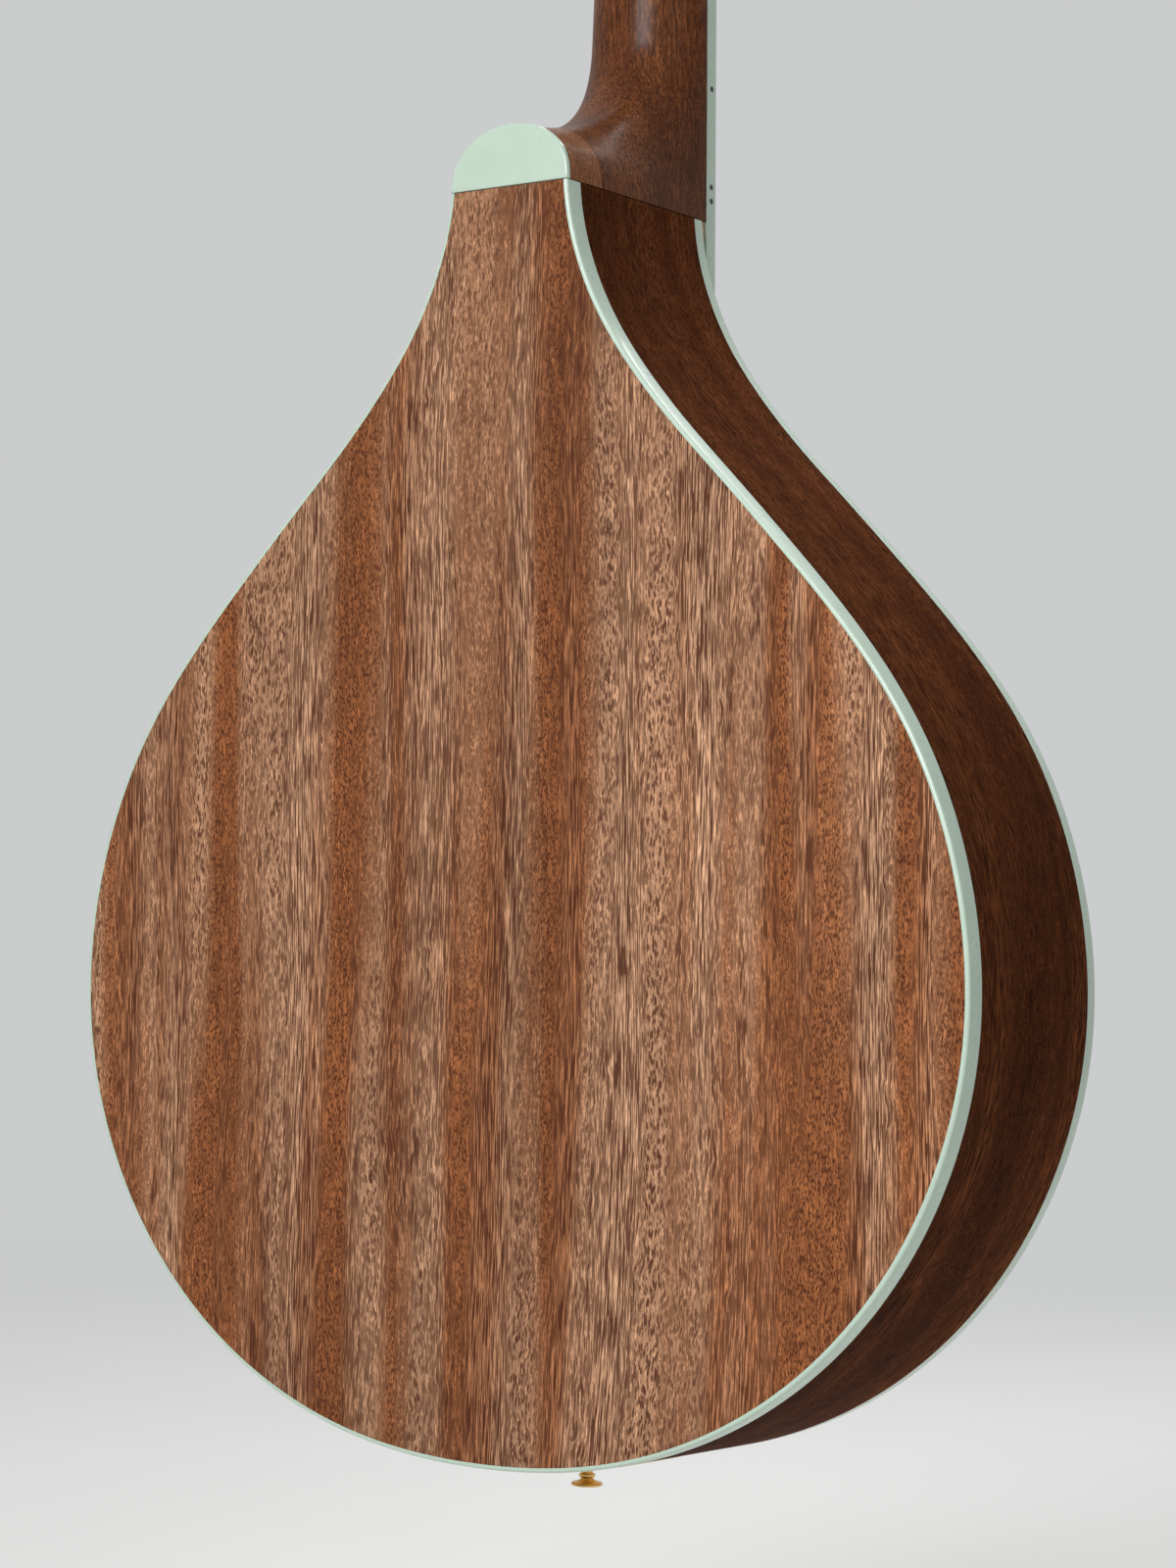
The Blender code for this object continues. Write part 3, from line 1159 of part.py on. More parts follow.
def make_strings(frame_matrix):
    """Eight strings, each one tube from its tailpiece hook over saddle and nut and round its post."""
    at_nut = course_places(COURSE_SPREAD_NUT, PAIR_SPACING_NUT)
    at_bridge = course_places(COURSE_SPREAD_BRIDGE, PAIR_SPACING_BRIDGE)
    at_tail = course_places(COURSE_SPREAD_BRIDGE * 0.80, PAIR_SPACING_BRIDGE)
    to_local = frame_matrix.inverted()
    for side in (-1, 1):
        for k in range(4):
            index = string_of(side, k)
            diameter = STRING_DIAMETERS[index // 2]
            nut_point = Vector((at_nut[index], NUT_STRING_Y, NUT_Z + NUT_LENGTH * 0.5))
            local_nut = to_local @ nut_point
            centre = (side * POST_X, FIRST_POST_Z + k * POST_PITCH)
            turns = winding_route((local_nut.x, local_nut.z), centre, diameter, side)
            report_winding_gap(index + 1, turns, diameter)
            route = [
                Vector((at_tail[index], TAIL_STRING_Y, HOOK_Z)),
                Vector((at_bridge[index], SADDLE_STRING_Y, BRIDGE_Z)),
                Vector((at_nut[index], NUT_STRING_Y, NUT_Z + GAP)),
                nut_point,
                *[frame_matrix @ point for point in turns],
            ]
            keep(f"string_{index + 1}", tube_mesh(f"string_{index + 1}", route, diameter / 2, 1), STEEL)


def main():
    frame = bpy.data.objects.new("headstock_frame", None)
    PARTS.objects.link(frame)
    frame.location = (0, NECK_FRONT_Y + GAP, NUT_Z)
    frame.rotation_euler = (-HEADSTOCK_ANGLE, 0, 0)
    bpy.context.view_layer.update()
    make_body()
    make_neck(frame)
    make_headstock_front(frame)
    make_fingerboard()
    make_bridge()
    make_tailpiece()
    make_strap_button()
    make_machines(frame)
    make_strings(frame.matrix_world.copy())


main()
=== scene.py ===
"""Looks of the octave mandolin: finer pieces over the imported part, woods, studio and camera.

Everything is in metres in the part's own frame: +Z up along the neck, the strings face -Y,
the back faces +Y and the bass side is -X.
"""

import logging
import math
from collections.abc import Sequence
from dataclasses import dataclass, field
from enum import Enum

import bmesh
import bpy
import numpy as np
from mathutils import Matrix, Vector


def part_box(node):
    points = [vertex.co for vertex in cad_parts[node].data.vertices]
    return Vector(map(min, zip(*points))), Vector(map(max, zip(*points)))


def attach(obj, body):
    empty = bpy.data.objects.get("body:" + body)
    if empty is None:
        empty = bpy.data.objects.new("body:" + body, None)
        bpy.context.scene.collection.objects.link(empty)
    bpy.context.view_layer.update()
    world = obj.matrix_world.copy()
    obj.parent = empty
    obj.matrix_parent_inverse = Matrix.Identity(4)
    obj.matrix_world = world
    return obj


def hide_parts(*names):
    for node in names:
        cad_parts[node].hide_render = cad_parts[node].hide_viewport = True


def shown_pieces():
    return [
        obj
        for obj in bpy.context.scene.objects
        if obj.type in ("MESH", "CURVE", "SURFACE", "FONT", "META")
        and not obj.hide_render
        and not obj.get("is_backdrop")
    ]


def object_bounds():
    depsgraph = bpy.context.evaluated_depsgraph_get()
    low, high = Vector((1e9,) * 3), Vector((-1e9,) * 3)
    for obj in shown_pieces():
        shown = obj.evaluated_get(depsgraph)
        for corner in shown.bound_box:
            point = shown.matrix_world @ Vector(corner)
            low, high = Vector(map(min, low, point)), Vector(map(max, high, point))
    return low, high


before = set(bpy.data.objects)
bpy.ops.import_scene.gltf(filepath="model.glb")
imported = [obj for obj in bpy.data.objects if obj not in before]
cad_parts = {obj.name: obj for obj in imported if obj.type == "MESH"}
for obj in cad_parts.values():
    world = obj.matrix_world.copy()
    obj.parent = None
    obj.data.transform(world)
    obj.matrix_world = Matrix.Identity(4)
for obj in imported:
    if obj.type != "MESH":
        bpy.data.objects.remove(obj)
CAD_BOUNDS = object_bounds()
LOG = logging.getLogger("octave_mandolin")
FRAME_BODY = "frame"

# Driving sizes, the same as the part's
GAP = 0.0003
SCALE_LENGTH = 0.560
NUT_Z = -0.012
NECK_FRONT_Y = -0.007
BODY_JOINT_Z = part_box("back_plate")[1].z
JOINT_TO_WAISTLINE = 0.2400
HALF_OUTLINE = (
    (0.0, -0.1633), (0.0570, -0.1566), (0.1107, -0.1319), (0.1525, -0.0880), (0.1731, -0.0305),
    (0.1694, 0.0238), (0.1514, 0.0674), (0.1273, 0.0995), (0.1041, 0.1240), (0.0835, 0.1446),
    (0.0656, 0.1624), (0.0512, 0.1786), (0.0396, 0.1944),
)
TAIL_Z = BODY_JOINT_Z - JOINT_TO_WAISTLINE + HALF_OUTLINE[0][1]
BACK_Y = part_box("back_plate")[1].y
SOUNDBOARD_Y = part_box("soundboard")[0].y
PLATE_THICKNESS = 0.0028
SIDE_THICKNESS = 0.0024
BINDING_THICKNESS = 0.0015
BACK_BINDING_HEIGHT = 0.007
TOP_BINDING_HEIGHT = 0.005
BINDING_ROUND = 0.0009
OUTLINE_STEPS = 150
ROSETTE_WIDTH = 0.005
HOLE_INSIDE_ROSETTE = 0.003

HEEL_HALF_WIDTH = 0.0233
HEEL_CAP_HEIGHT = 0.0200
HEEL_CAP_THICKNESS = 0.0016
HEEL_BLOCK_DEPTH = 0.0170
HEEL_COVE_RISE = 0.060
NUT_WIDTH = 0.0345
NECK_DEPTH_NUT = 0.0150
NECK_DEPTH_HEEL = 0.0180
RING_STEPS = 30
PROFILE_POWER = 1.9
HEEL_POWER = 1.2
FLANK_DEPTH = 0.012
FLANK_REACH = 0.009
COVE_POWER = 2.0
FINGERBOARD_THICKNESS = 0.0055
FINGERBOARD_FRONT_Y = NECK_FRONT_Y - FINGERBOARD_THICKNESS
FINGERBOARD_END_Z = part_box("fingerboard_binding")[0].z
FINGERBOARD_BINDING = 0.0018
FRET_COUNT = 20
FRET_WIDTH = 0.0020
FRET_HEIGHT = 0.0010
MARKED_FRETS = (3, 5, 7, 10, 12, 15, 17, 19)
OCTAVE_FRET = 12
NUT_LENGTH = 0.005
NUT_SLOPE = 0.0018

HEADSTOCK_ANGLE = math.radians(13)
HEADSTOCK_PLACE = Matrix.Translation((0, NECK_FRONT_Y + GAP, NUT_Z)) @ Matrix.Rotation(-HEADSTOCK_ANGLE, 4, "X")
HEADSTOCK_THICKNESS = 0.0140
HEADSTOCK_LENGTH = 0.148
HEADSTOCK_HALF_WIDTH = 0.0365
SHOULDER_LOW = 0.011
SHOULDER_HIGH = 0.024
ROOT_SHARE = 0.3
VENEER_THICKNESS = 0.0015
COVER_THICKNESS = 0.0018
COVER_LENGTH = 0.032
COVER_HALF_WIDTH = 0.0105
POST_X = 0.0235
FIRST_POST_Z = 0.038
POST_PITCH = 0.023
POST_RADIUS = 0.0030
POST_WAIST_RADIUS = 0.0024
POST_HEAD = 0.0045
POST_WAIST_LENGTH = 0.0080
POST_RISE = 0.0165
GEAR_TEETH = 14
GEAR_MODULE = 0.0007
GEAR_THICKNESS = 0.0030
GEAR_BACKLASH = 0.0004
GEAR_STAND_OFF = 0.0036
GEAR_PITCH_RADIUS = GEAR_MODULE * GEAR_TEETH / 2
WORM_PITCH_RADIUS = 0.0023
WORM_PITCH = math.pi * GEAR_MODULE
WORM_TURNS = 2
WORM_OFFSET = GEAR_PITCH_RADIUS + WORM_PITCH_RADIUS
PLATE_METAL = 0.0012
PLATE_INNER_X = 0.0150
PLATE_OUTER_X = 0.0335
PLATE_MARGIN = 0.013
EAR_THICKNESS = 0.0010
EAR_WIDTH = 0.0060
EAR_RISE = 0.0028
EAR_INNER_X = 0.0168
EAR_OUTER_X = 0.0300
SHAFT_RADIUS = 0.0013
BUTTON_START_X = 0.0400
BUTTON_LENGTH = 0.0165
BUTTON_HALF_WIDTH = 0.0072
BUTTON_HALF_THICKNESS = 0.0036
GEAR_MIDDLE_Y = HEADSTOCK_THICKNESS + GAP + PLATE_METAL + GEAR_STAND_OFF

STRING_DIAMETERS = (0.00112, 0.00081, 0.00051, 0.00030)
WOUND_COURSES = 2
COURSE_SPREAD_NUT = 0.0128
COURSE_SPREAD_BRIDGE = 0.0225
TAIL_SPREAD_SHARE = 0.80
PAIR_SPACING_NUT = 0.0023
PAIR_SPACING_BRIDGE = 0.0032
NUT_STRING_Y = FINGERBOARD_FRONT_Y - 0.0016
SADDLE_STRING_Y = SOUNDBOARD_Y - 0.0135
BRIDGE_Z = NUT_Z - SCALE_LENGTH
WINDING_TURNS = 1.5
WINDING_GAP = 0.0005
BRIDGE_HALF_LENGTH = 0.058
BRIDGE_THICKNESS = 0.012
BRIDGE_HEIGHT = 0.0095
BRIDGE_FOOT = 0.024
BRIDGE_ARCH = 0.0028
BRIDGE_END_HEIGHT = 0.0035
SADDLE_HALF_LENGTH = 0.031
SADDLE_THICKNESS = 0.003
SADDLE_DEPTH = 0.004
TAILPIECE_HALF_WIDTH = 0.024
TAILPIECE_METAL = 0.0015
TAILPIECE_LENGTH = 0.046
TAILPIECE_RISE = 0.0045
TAILPIECE_END_DEPTH = 0.030
HOOK_RADIUS = 0.0009
HOOK_HEIGHT = 0.0038
HOOK_Z = TAIL_Z + 0.036
TAIL_PLATE_Y = SOUNDBOARD_Y - TAILPIECE_RISE
TAIL_STRING_Y = TAIL_PLATE_Y - 0.0020
STRAP_BUTTON_LENGTH = 0.0095
STRAP_BUTTON_DEPTH = 0.016
STRAP_BUTTON_RADIUS = 0.0052

# Camera, fitted to the photograph
IMAGE_LONG_SIDE = 1600
FOCAL_PIXELS = 3618.0
SENSOR_MM = 36.0
CAMERA_TURN = math.radians(38.06)
CAMERA_PAN = math.radians(1.538)
CAMERA_TILT = math.radians(2.625)
CAMERA_ROLL = math.radians(1.400)
CAMERA_DISTANCE = 1.1145
AIM_POINT = Vector((0.0, BACK_Y, BODY_JOINT_Z - JOINT_TO_WAISTLINE))
FLOOR_BELOW = 0.10
SURROUND_COLOUR = (0.96, 0.97, 0.98)
SURROUND_SEEN = 0.62
SURROUND_LIGHT = 0.32


class Side(Enum):
    """The two sides of the instrument, as the sign of X."""

    BASS = -1
    TREBLE = 1

    @property
    def label(self) -> str:
        """The side's name in a piece's name."""
        return self.name.lower()


class Way(Enum):
    """What a wood's grain follows."""

    UP = "z"
    ACROSS = "x"
    ALONG_RIM = "rim"


@dataclass(frozen=True)
class WoodFinish:
    """A lacquered or bare wood.

    Attributes:
        name: The material's name.
        light: Linear colour of its light bands.
        dark: Linear colour of its dark bands.
        pore: Linear colour of its pores.
        band_width: Usual width of a band in metres.
        band_strength: 0 to 1, how far the bands differ.
        pore_density: 0 to 1, how much of the surface holds pores.
        pore_width: Width of a pore in metres.
        figure: 0 to 1, cross figure that catches the light.
        roughness: Roughness of the wood itself.
        coat: Strength of the lacquer.
        coat_roughness: Roughness of the lacquer.
        way: What the grain follows.
        seed: Moves the pattern.
        specular: The wood's own reflection, 0.5 being usual.
        band_run: How long the bands are, 1 being about thirty times their width.
        fibre: How strongly its fine lines show.
    """

    name: str
    light: tuple[float, float, float]
    dark: tuple[float, float, float]
    pore: tuple[float, float, float]
    band_width: float = 0.012
    band_strength: float = 0.6
    pore_density: float = 0.4
    pore_width: float = 0.001
    figure: float = 0.2
    roughness: float = 0.45
    coat: float = 0.6
    coat_roughness: float = 0.12
    way: Way = Way.UP
    seed: float = 0.0
    specular: float = 0.4
    band_run: float = 1.0
    fibre: float = 2.4


@dataclass(frozen=True)
class PlainFinish:
    """A plastic, bone or metal with slight mottling and fine scratches.

    Attributes:
        name: The material's name.
        colour: Linear base colour.
        second: Linear colour that it mottles towards.
        roughness: Middle roughness.
        metallic: 1 for a metal.
        mottle_size: Size of the mottling in metres.
        bump: Height of the surface's unevenness in metres.
        coat: Strength of a polished skin.
    """

    name: str
    colour: tuple[float, float, float]
    second: tuple[float, float, float]
    roughness: float = 0.3
    metallic: float = 0.0
    mottle_size: float = 0.01
    bump: float = 0.00002
    coat: float = 0.0


BACK_WOOD = WoodFinish(
    "back_sapele", (0.555, 0.318, 0.188), (0.300, 0.098, 0.029), (0.062, 0.015, 0.005),
    band_width=0.0155, band_strength=0.9, pore_density=0.57, pore_width=0.00076, figure=0.25,
    roughness=0.42, coat=0.07, coat_roughness=0.25, seed=17.2, specular=0.08, fibre=1.8,
)
# Same sapele as the back, its colours painted about four times darker: painted shade of the sides, which stand turned
# away from the light.
SHADED_SIDE_WOOD = WoodFinish(
    "side_sapele", (0.140, 0.044, 0.014), (0.066, 0.018, 0.005), (0.018, 0.004, 0.001),
    band_width=0.016, band_strength=0.8, pore_density=0.40, pore_width=0.0006, figure=0.45,
    roughness=0.42, coat=0.04, coat_roughness=0.12, way=Way.ALONG_RIM, seed=11.0, specular=0.0,
)
NECK_WOOD = WoodFinish(
    "neck_mahogany", (0.230, 0.080, 0.025), (0.125, 0.038, 0.011), (0.042, 0.011, 0.004),
    band_width=0.010, band_strength=0.7, pore_density=0.40, pore_width=0.0008, figure=0.2,
    roughness=0.38, coat=0.13, coat_roughness=0.24, seed=23.0, specular=0.05,
)
HEEL_WOOD = WoodFinish(
    "heel_mahogany", (0.370, 0.155, 0.062), (0.270, 0.100, 0.036), (0.120, 0.040, 0.015),
    band_width=0.006, band_strength=0.7, pore_density=0.45, pore_width=0.0007, figure=0.2,
    roughness=0.38, coat=0.13, coat_roughness=0.24, seed=29.0, specular=0.05,
)
TOP_WOOD = WoodFinish(
    "top_spruce", (0.740, 0.520, 0.300), (0.540, 0.335, 0.160), (0.420, 0.230, 0.100),
    band_width=0.0024, band_strength=0.8, pore_density=-1.0, pore_width=0.001, figure=0.12,
    roughness=0.40, coat=0.3, coat_roughness=0.14, seed=31.0, band_run=12.0, fibre=0.7,
)
DARK_WOOD = WoodFinish(
    "dark_rosewood", (0.085, 0.041, 0.025), (0.030, 0.015, 0.011), (0.008, 0.005, 0.004),
    band_width=0.005, band_strength=0.7, pore_density=0.30, pore_width=0.0007, figure=0.1,
    roughness=0.42, coat=0.0, coat_roughness=0.3, seed=41.0, specular=0.3,
)
PALE_WOOD = WoodFinish(
    "pale_inner_wood", (0.60, 0.42, 0.24), (0.46, 0.29, 0.15), (0.30, 0.18, 0.09),
    band_width=0.004, band_strength=0.5, pore_density=0.1, pore_width=0.001, figure=0.1,
    roughness=0.6, coat=0.0, coat_roughness=0.3, seed=53.0,
)
BINDING = PlainFinish("cream_binding", (0.475, 0.595, 0.495), (0.450, 0.565, 0.465), 0.30, coat=0.3)
BONE = PlainFinish("polished_bone", (0.78, 0.72, 0.58), (0.70, 0.63, 0.48), 0.35, mottle_size=0.004)
BLACK = PlainFinish("black_cover", (0.012, 0.012, 0.013), (0.020, 0.020, 0.021), 0.22, coat=0.6)
DOT_BLACK = PlainFinish("black_dot", (0.020, 0.018, 0.017), (0.030, 0.028, 0.026), 0.35)
GOLD = PlainFinish("gold_metal", (0.80, 0.55, 0.22), (0.70, 0.45, 0.16), 0.22, 1.0, 0.02, 0.000008)
STEEL = PlainFinish("plain_steel", (0.52, 0.52, 0.52), (0.44, 0.44, 0.45), 0.30, 1.0, 0.01, 0.000008)
NICKEL = PlainFinish("fret_metal", (0.66, 0.63, 0.58), (0.58, 0.55, 0.50), 0.18, 1.0, 0.01, 0.000004)
BRONZE = PlainFinish("wound_bronze", (0.62, 0.40, 0.20), (0.50, 0.30, 0.14), 0.32, 1.0, 0.004, 0.000008)
PEARL = PlainFinish("pearl", (0.72, 0.74, 0.70), (0.52, 0.60, 0.58), 0.18, 0.0, 0.002, 0.000002, 0.8)
FLOOR = PlainFinish("pale_floor", (0.74, 0.74, 0.73), (0.72, 0.72, 0.71), 0.75, 0.0, 0.4, 0.0)


class Nodes:
    """Short ways to write a shader tree, each returning the socket that it makes."""

    def __init__(self, tree: bpy.types.NodeTree) -> None:
        """Args: tree: The tree to fill."""
        self.tree = tree

    def add(self, kind: str, **settings: object) -> bpy.types.Node:
        """Adds a node and sets its plain properties."""
        node = self.tree.nodes.new(kind)
        for name, value in settings.items():
            setattr(node, name, value)
        return node

    def link(self, socket: object, target: bpy.types.NodeSocket) -> None:
        """Joins a socket to an input, or sets a plain value on it."""
        if isinstance(socket, bpy.types.NodeSocket):
            self.tree.links.new(socket, target)
        elif isinstance(socket, tuple) and len(socket) == 3 and target.type == "RGBA":
            target.default_value = (*socket, 1.0)
        else:
            target.default_value = socket

    def math(self, operation: str, *values: object, clamp: bool = False) -> bpy.types.NodeSocket:
        """One Math node."""
        node = self.add("ShaderNodeMath", operation=operation, use_clamp=clamp)
        for target, value in zip(node.inputs, values):
            self.link(value, target)
        return node.outputs[0]

    def about(self, value: object, strength: object) -> bpy.types.NodeSocket:
        """How far a noise is from its middle, times a strength."""
        return self.math("MULTIPLY", self.math("SUBTRACT", value, 0.5), strength)

    def mix(self, share: object, first: object, second: object) -> bpy.types.NodeSocket:
        """A colour between two."""
        node = self.add("ShaderNodeMix", data_type="RGBA")
        self.link(share, node.inputs["Factor"])
        self.link(first, node.inputs[6])
        self.link(second, node.inputs[7])
        return node.outputs[2]

    def between(self, value: object, low: float, high: float) -> bpy.types.NodeSocket:
        """0 below low, 1 above high, smooth in between."""
        node = self.add("ShaderNodeMapRange", interpolation_type="SMOOTHSTEP")
        self.link(value, node.inputs["Value"])
        node.inputs["From Min"].default_value = low
        node.inputs["From Max"].default_value = high
        return node.outputs["Result"]

    def scaled(self, vector: object, scale: tuple, shift: object = (0.0, 0.0, 0.0)) -> bpy.types.NodeSocket:
        """A vector stretched and then moved."""
        node = self.add("ShaderNodeVectorMath", operation="MULTIPLY_ADD")
        self.link(vector, node.inputs[0])
        node.inputs[1].default_value = scale
        self.link(shift, node.inputs[2])
        return node.outputs[0]

    def times(self, vector: object, factor: object) -> bpy.types.NodeSocket:
        """A vector or colour times a number."""
        node = self.add("ShaderNodeVectorMath", operation="SCALE")
        self.link(vector, node.inputs[0])
        self.link(factor, node.inputs["Scale"])
        return node.outputs[0]

    def stretched(self, vector: object, by: object) -> bpy.types.NodeSocket:
        """A vector times another, number by number."""
        node = self.add("ShaderNodeVectorMath", operation="MULTIPLY")
        self.link(vector, node.inputs[0])
        self.link(by, node.inputs[1])
        return node.outputs[0]

    def joined(self, x: object, y: object, z: object) -> bpy.types.NodeSocket:
        """A vector of three numbers."""
        node = self.add("ShaderNodeCombineXYZ")
        for value, target in zip((x, y, z), node.inputs):
            self.link(value, target)
        return node.outputs[0]

    def noise(self, vector: object, detail: float = 2.0, rough: float = 0.5) -> bpy.types.NodeSocket:
        """Noise of scale 1 over a vector, about 0.5."""
        node = self.add("ShaderNodeTexNoise")
        self.link(vector, node.inputs["Vector"])
        node.inputs["Scale"].default_value = 1.0
        node.inputs["Detail"].default_value = detail
        node.inputs["Roughness"].default_value = rough
        return node.outputs["Fac"]

    def cells(self, vector: object, uneven: float = 0.0) -> bpy.types.NodeSocket:
        """How far the nearest of many scattered points is, some of them pushed away by up to `uneven`."""
        node = self.add("ShaderNodeTexVoronoi")
        self.link(vector, node.inputs["Vector"])
        node.inputs["Scale"].default_value = 1.0
        chance = self.add("ShaderNodeSeparateColor")
        self.link(node.outputs["Color"], chance.inputs[0])
        return self.math("ADD", node.outputs["Distance"], self.math("MULTIPLY", chance.outputs[0], uneven))


def new_group(name: str, inputs: dict, outputs: dict) -> tuple:
    """An empty shader node group.

    Args:
        name: The group's name.
        inputs: Input name to (socket type, default).
        outputs: Output name to socket type.

    Returns:
        The group, a Nodes helper, the group's input node and its output node.
    """
    group = bpy.data.node_groups.new(name, "ShaderNodeTree")
    for label, (kind, default) in inputs.items():
        socket = group.interface.new_socket(name=label, in_out="INPUT", socket_type=kind)
        if default is not None:
            socket.default_value = default
    for label, kind in outputs.items():
        group.interface.new_socket(name=label, in_out="OUTPUT", socket_type=kind)
    nodes = Nodes(group)
    return group, nodes, nodes.add("NodeGroupInput"), nodes.add("NodeGroupOutput")


def wood_group() -> bpy.types.NodeTree:
    """Bands whose pores are short dashes in one and long streaks in the next, along Z, in metres."""
    number, colour, vector = "NodeSocketFloat", "NodeSocketColor", "NodeSocketVector"
    group, n, given, made = new_group("wood_grain", {
        "Vector": (vector, None), "Light": (colour, None), "Dark": (colour, None), "Pore": (colour, None),
        "Band Width": (number, 0.012), "Band Strength": (number, 0.6), "Pore Density": (number, 0.4),
        "Pore Width": (number, 0.001), "Figure": (number, 0.2), "Roughness": (number, 0.45),
        "Band Run": (number, 1.0), "Fibre": (number, 2.8),
    }, {"Color": colour, "Roughness": number, "Height": number})
    place = given.outputs["Vector"]
    split = n.add("ShaderNodeSeparateXYZ")
    n.link(place, split.inputs[0])
    # the grain wanders a little to each side, and each pore leans on its own
    wander = n.about(n.noise(n.scaled(place, (5.0, 5.0, 3.5)), 2.0), 0.022)
    lean = n.about(n.noise(n.scaled(place, (160.0, 160.0, 170.0)), 0.0), 0.0020)
    x = n.math("ADD", split.outputs["X"], wander)
    grain = n.joined(x, split.outputs["Y"], split.outputs["Z"])
    leaning = n.joined(n.math("ADD", x, lean), split.outputs["Y"], split.outputs["Z"])
    rate = n.math("DIVIDE", 1.0, given.outputs["Band Width"])
    run = n.math("DIVIDE", 0.035, given.outputs["Band Run"])
    by_band = n.times(n.stretched(grain, n.joined(1.0, 1.0, run)), rate)
    bands = n.between(n.noise(by_band, 2.0, 0.45), 0.44, 0.62)
    by_tone = n.scaled(by_band, (0.8, 0.8, 0.86), (3.1, 1.7, 5.2))
    tone = n.between(n.noise(by_tone, 2.0, 0.5), 0.38, 0.62)
    wide = n.noise(n.scaled(grain, (14.0, 14.0, 2.0)), 1.0)
    fibre = n.noise(n.scaled(leaning, (1400.0, 1400.0, 130.0)), 2.0, 0.6)
    # interlocked grain: its pores are cut across in one band and run along the surface in the next
    size = n.math("DIVIDE", 1.0, given.outputs["Pore Width"])
    lift = n.about(given.outputs["Pore Density"], 0.20)
    middling = n.math("SUBTRACT", 1.0, n.math("ABSOLUTE", n.math("MULTIPLY", n.math("SUBTRACT", bands, 0.5), 2.0)))
    pores = []
    dotted = n.math("SUBTRACT", 1.0, n.math("MULTIPLY", bands, 0.85))
    for way, across, along, weight in (
        (leaning, 1.50, 0.50, n.math("MULTIPLY", dotted, n.math("SUBTRACT", 1.0, n.math("MULTIPLY", tone, 0.6)))),
        (leaning, 1.12, 0.27, n.math("MULTIPLY", dotted, n.math("ADD", n.math("MULTIPLY", tone, 0.6), 0.4))),
        (leaning, 1.12, 0.115, n.math("ADD", n.math("MULTIPLY", middling, 0.5), 0.50)),
        (grain, 1.75, 0.048, n.math("ADD", n.math("MULTIPLY", bands, 0.65), 0.35)),
    ):
        spread = n.stretched(way, n.times((across, across, along), size))
        if way is leaning:
            far = n.math("ADD", n.cells(spread, 0.36), n.math("MULTIPLY", lift, -2.5))
            found = n.between(far, 0.66, 0.52)
        else:
            found = n.between(n.math("ADD", n.noise(spread, 1.0), lift), 0.495, 0.53)
        pores.append(n.math("MULTIPLY", found, weight, clamp=True))
    pore = pores[0]
    for more in pores[1:]:
        pore = n.math("MAXIMUM", pore, more)
    figure = n.about(n.noise(n.scaled(grain, (38.0, 38.0, 150.0)), 1.0), given.outputs["Figure"])
    mixed = n.math("ADD", n.math("MULTIPLY", tone, 0.85), n.math("MULTIPLY", bands, 0.15))
    share = n.math("ADD", n.about(mixed, given.outputs["Band Strength"]), 0.5, clamp=True)
    patch = n.noise(n.scaled(grain, (45.0, 45.0, 6.0), (1.3, 0.0, 2.9)), 1.0)
    base_colour = n.mix(share, given.outputs["Dark"], given.outputs["Light"])
    broad = n.math("ADD", n.about(wide, 0.35), n.about(patch, 0.45))
    broad = n.math("MULTIPLY", broad, given.outputs["Fibre"])
    shade = n.math("ADD", n.math("ADD", n.about(fibre, given.outputs["Fibre"]), broad), figure)
    base_colour = n.times(base_colour, n.math("ADD", shade, 1.0))
    n.link(n.mix(n.math("MULTIPLY", pore, 0.94), base_colour, given.outputs["Pore"]), made.inputs["Color"])
    rough = n.math("ADD", given.outputs["Roughness"], n.about(fibre, 0.12))
    n.link(n.math("ADD", rough, n.math("MULTIPLY", pore, 0.12)), made.inputs["Roughness"])
    n.link(n.math("SUBTRACT", n.math("MULTIPLY", fibre, 0.3), pore), made.inputs["Height"])
    return group


def mottle_group() -> bpy.types.NodeTree:
    """Soft mottling, a slightly uneven gloss and small scratches."""
    number, colour, vector = "NodeSocketFloat", "NodeSocketColor", "NodeSocketVector"
    group, n, given, made = new_group("mottling", {
        "Vector": (vector, None), "First": (colour, None), "Second": (colour, None),
        "Size": (number, 0.01), "Roughness": (number, 0.3),
    }, {"Color": colour, "Roughness": number, "Height": number})
    by_size = n.times(given.outputs["Vector"], n.math("DIVIDE", 1.0, given.outputs["Size"]))
    cloud = n.between(n.noise(by_size, 3.0), 0.3, 0.7)
    fine = n.noise(n.scaled(given.outputs["Vector"], (900.0, 1300.0, 700.0)), 2.0)
    n.link(n.mix(cloud, given.outputs["First"], given.outputs["Second"]), made.inputs["Color"])
    rough = n.math("ADD", given.outputs["Roughness"], n.about(fine, 0.10))
    n.link(n.math("ADD", rough, n.about(cloud, 0.08)), made.inputs["Roughness"])
    n.link(fine, made.inputs["Height"])
    return group


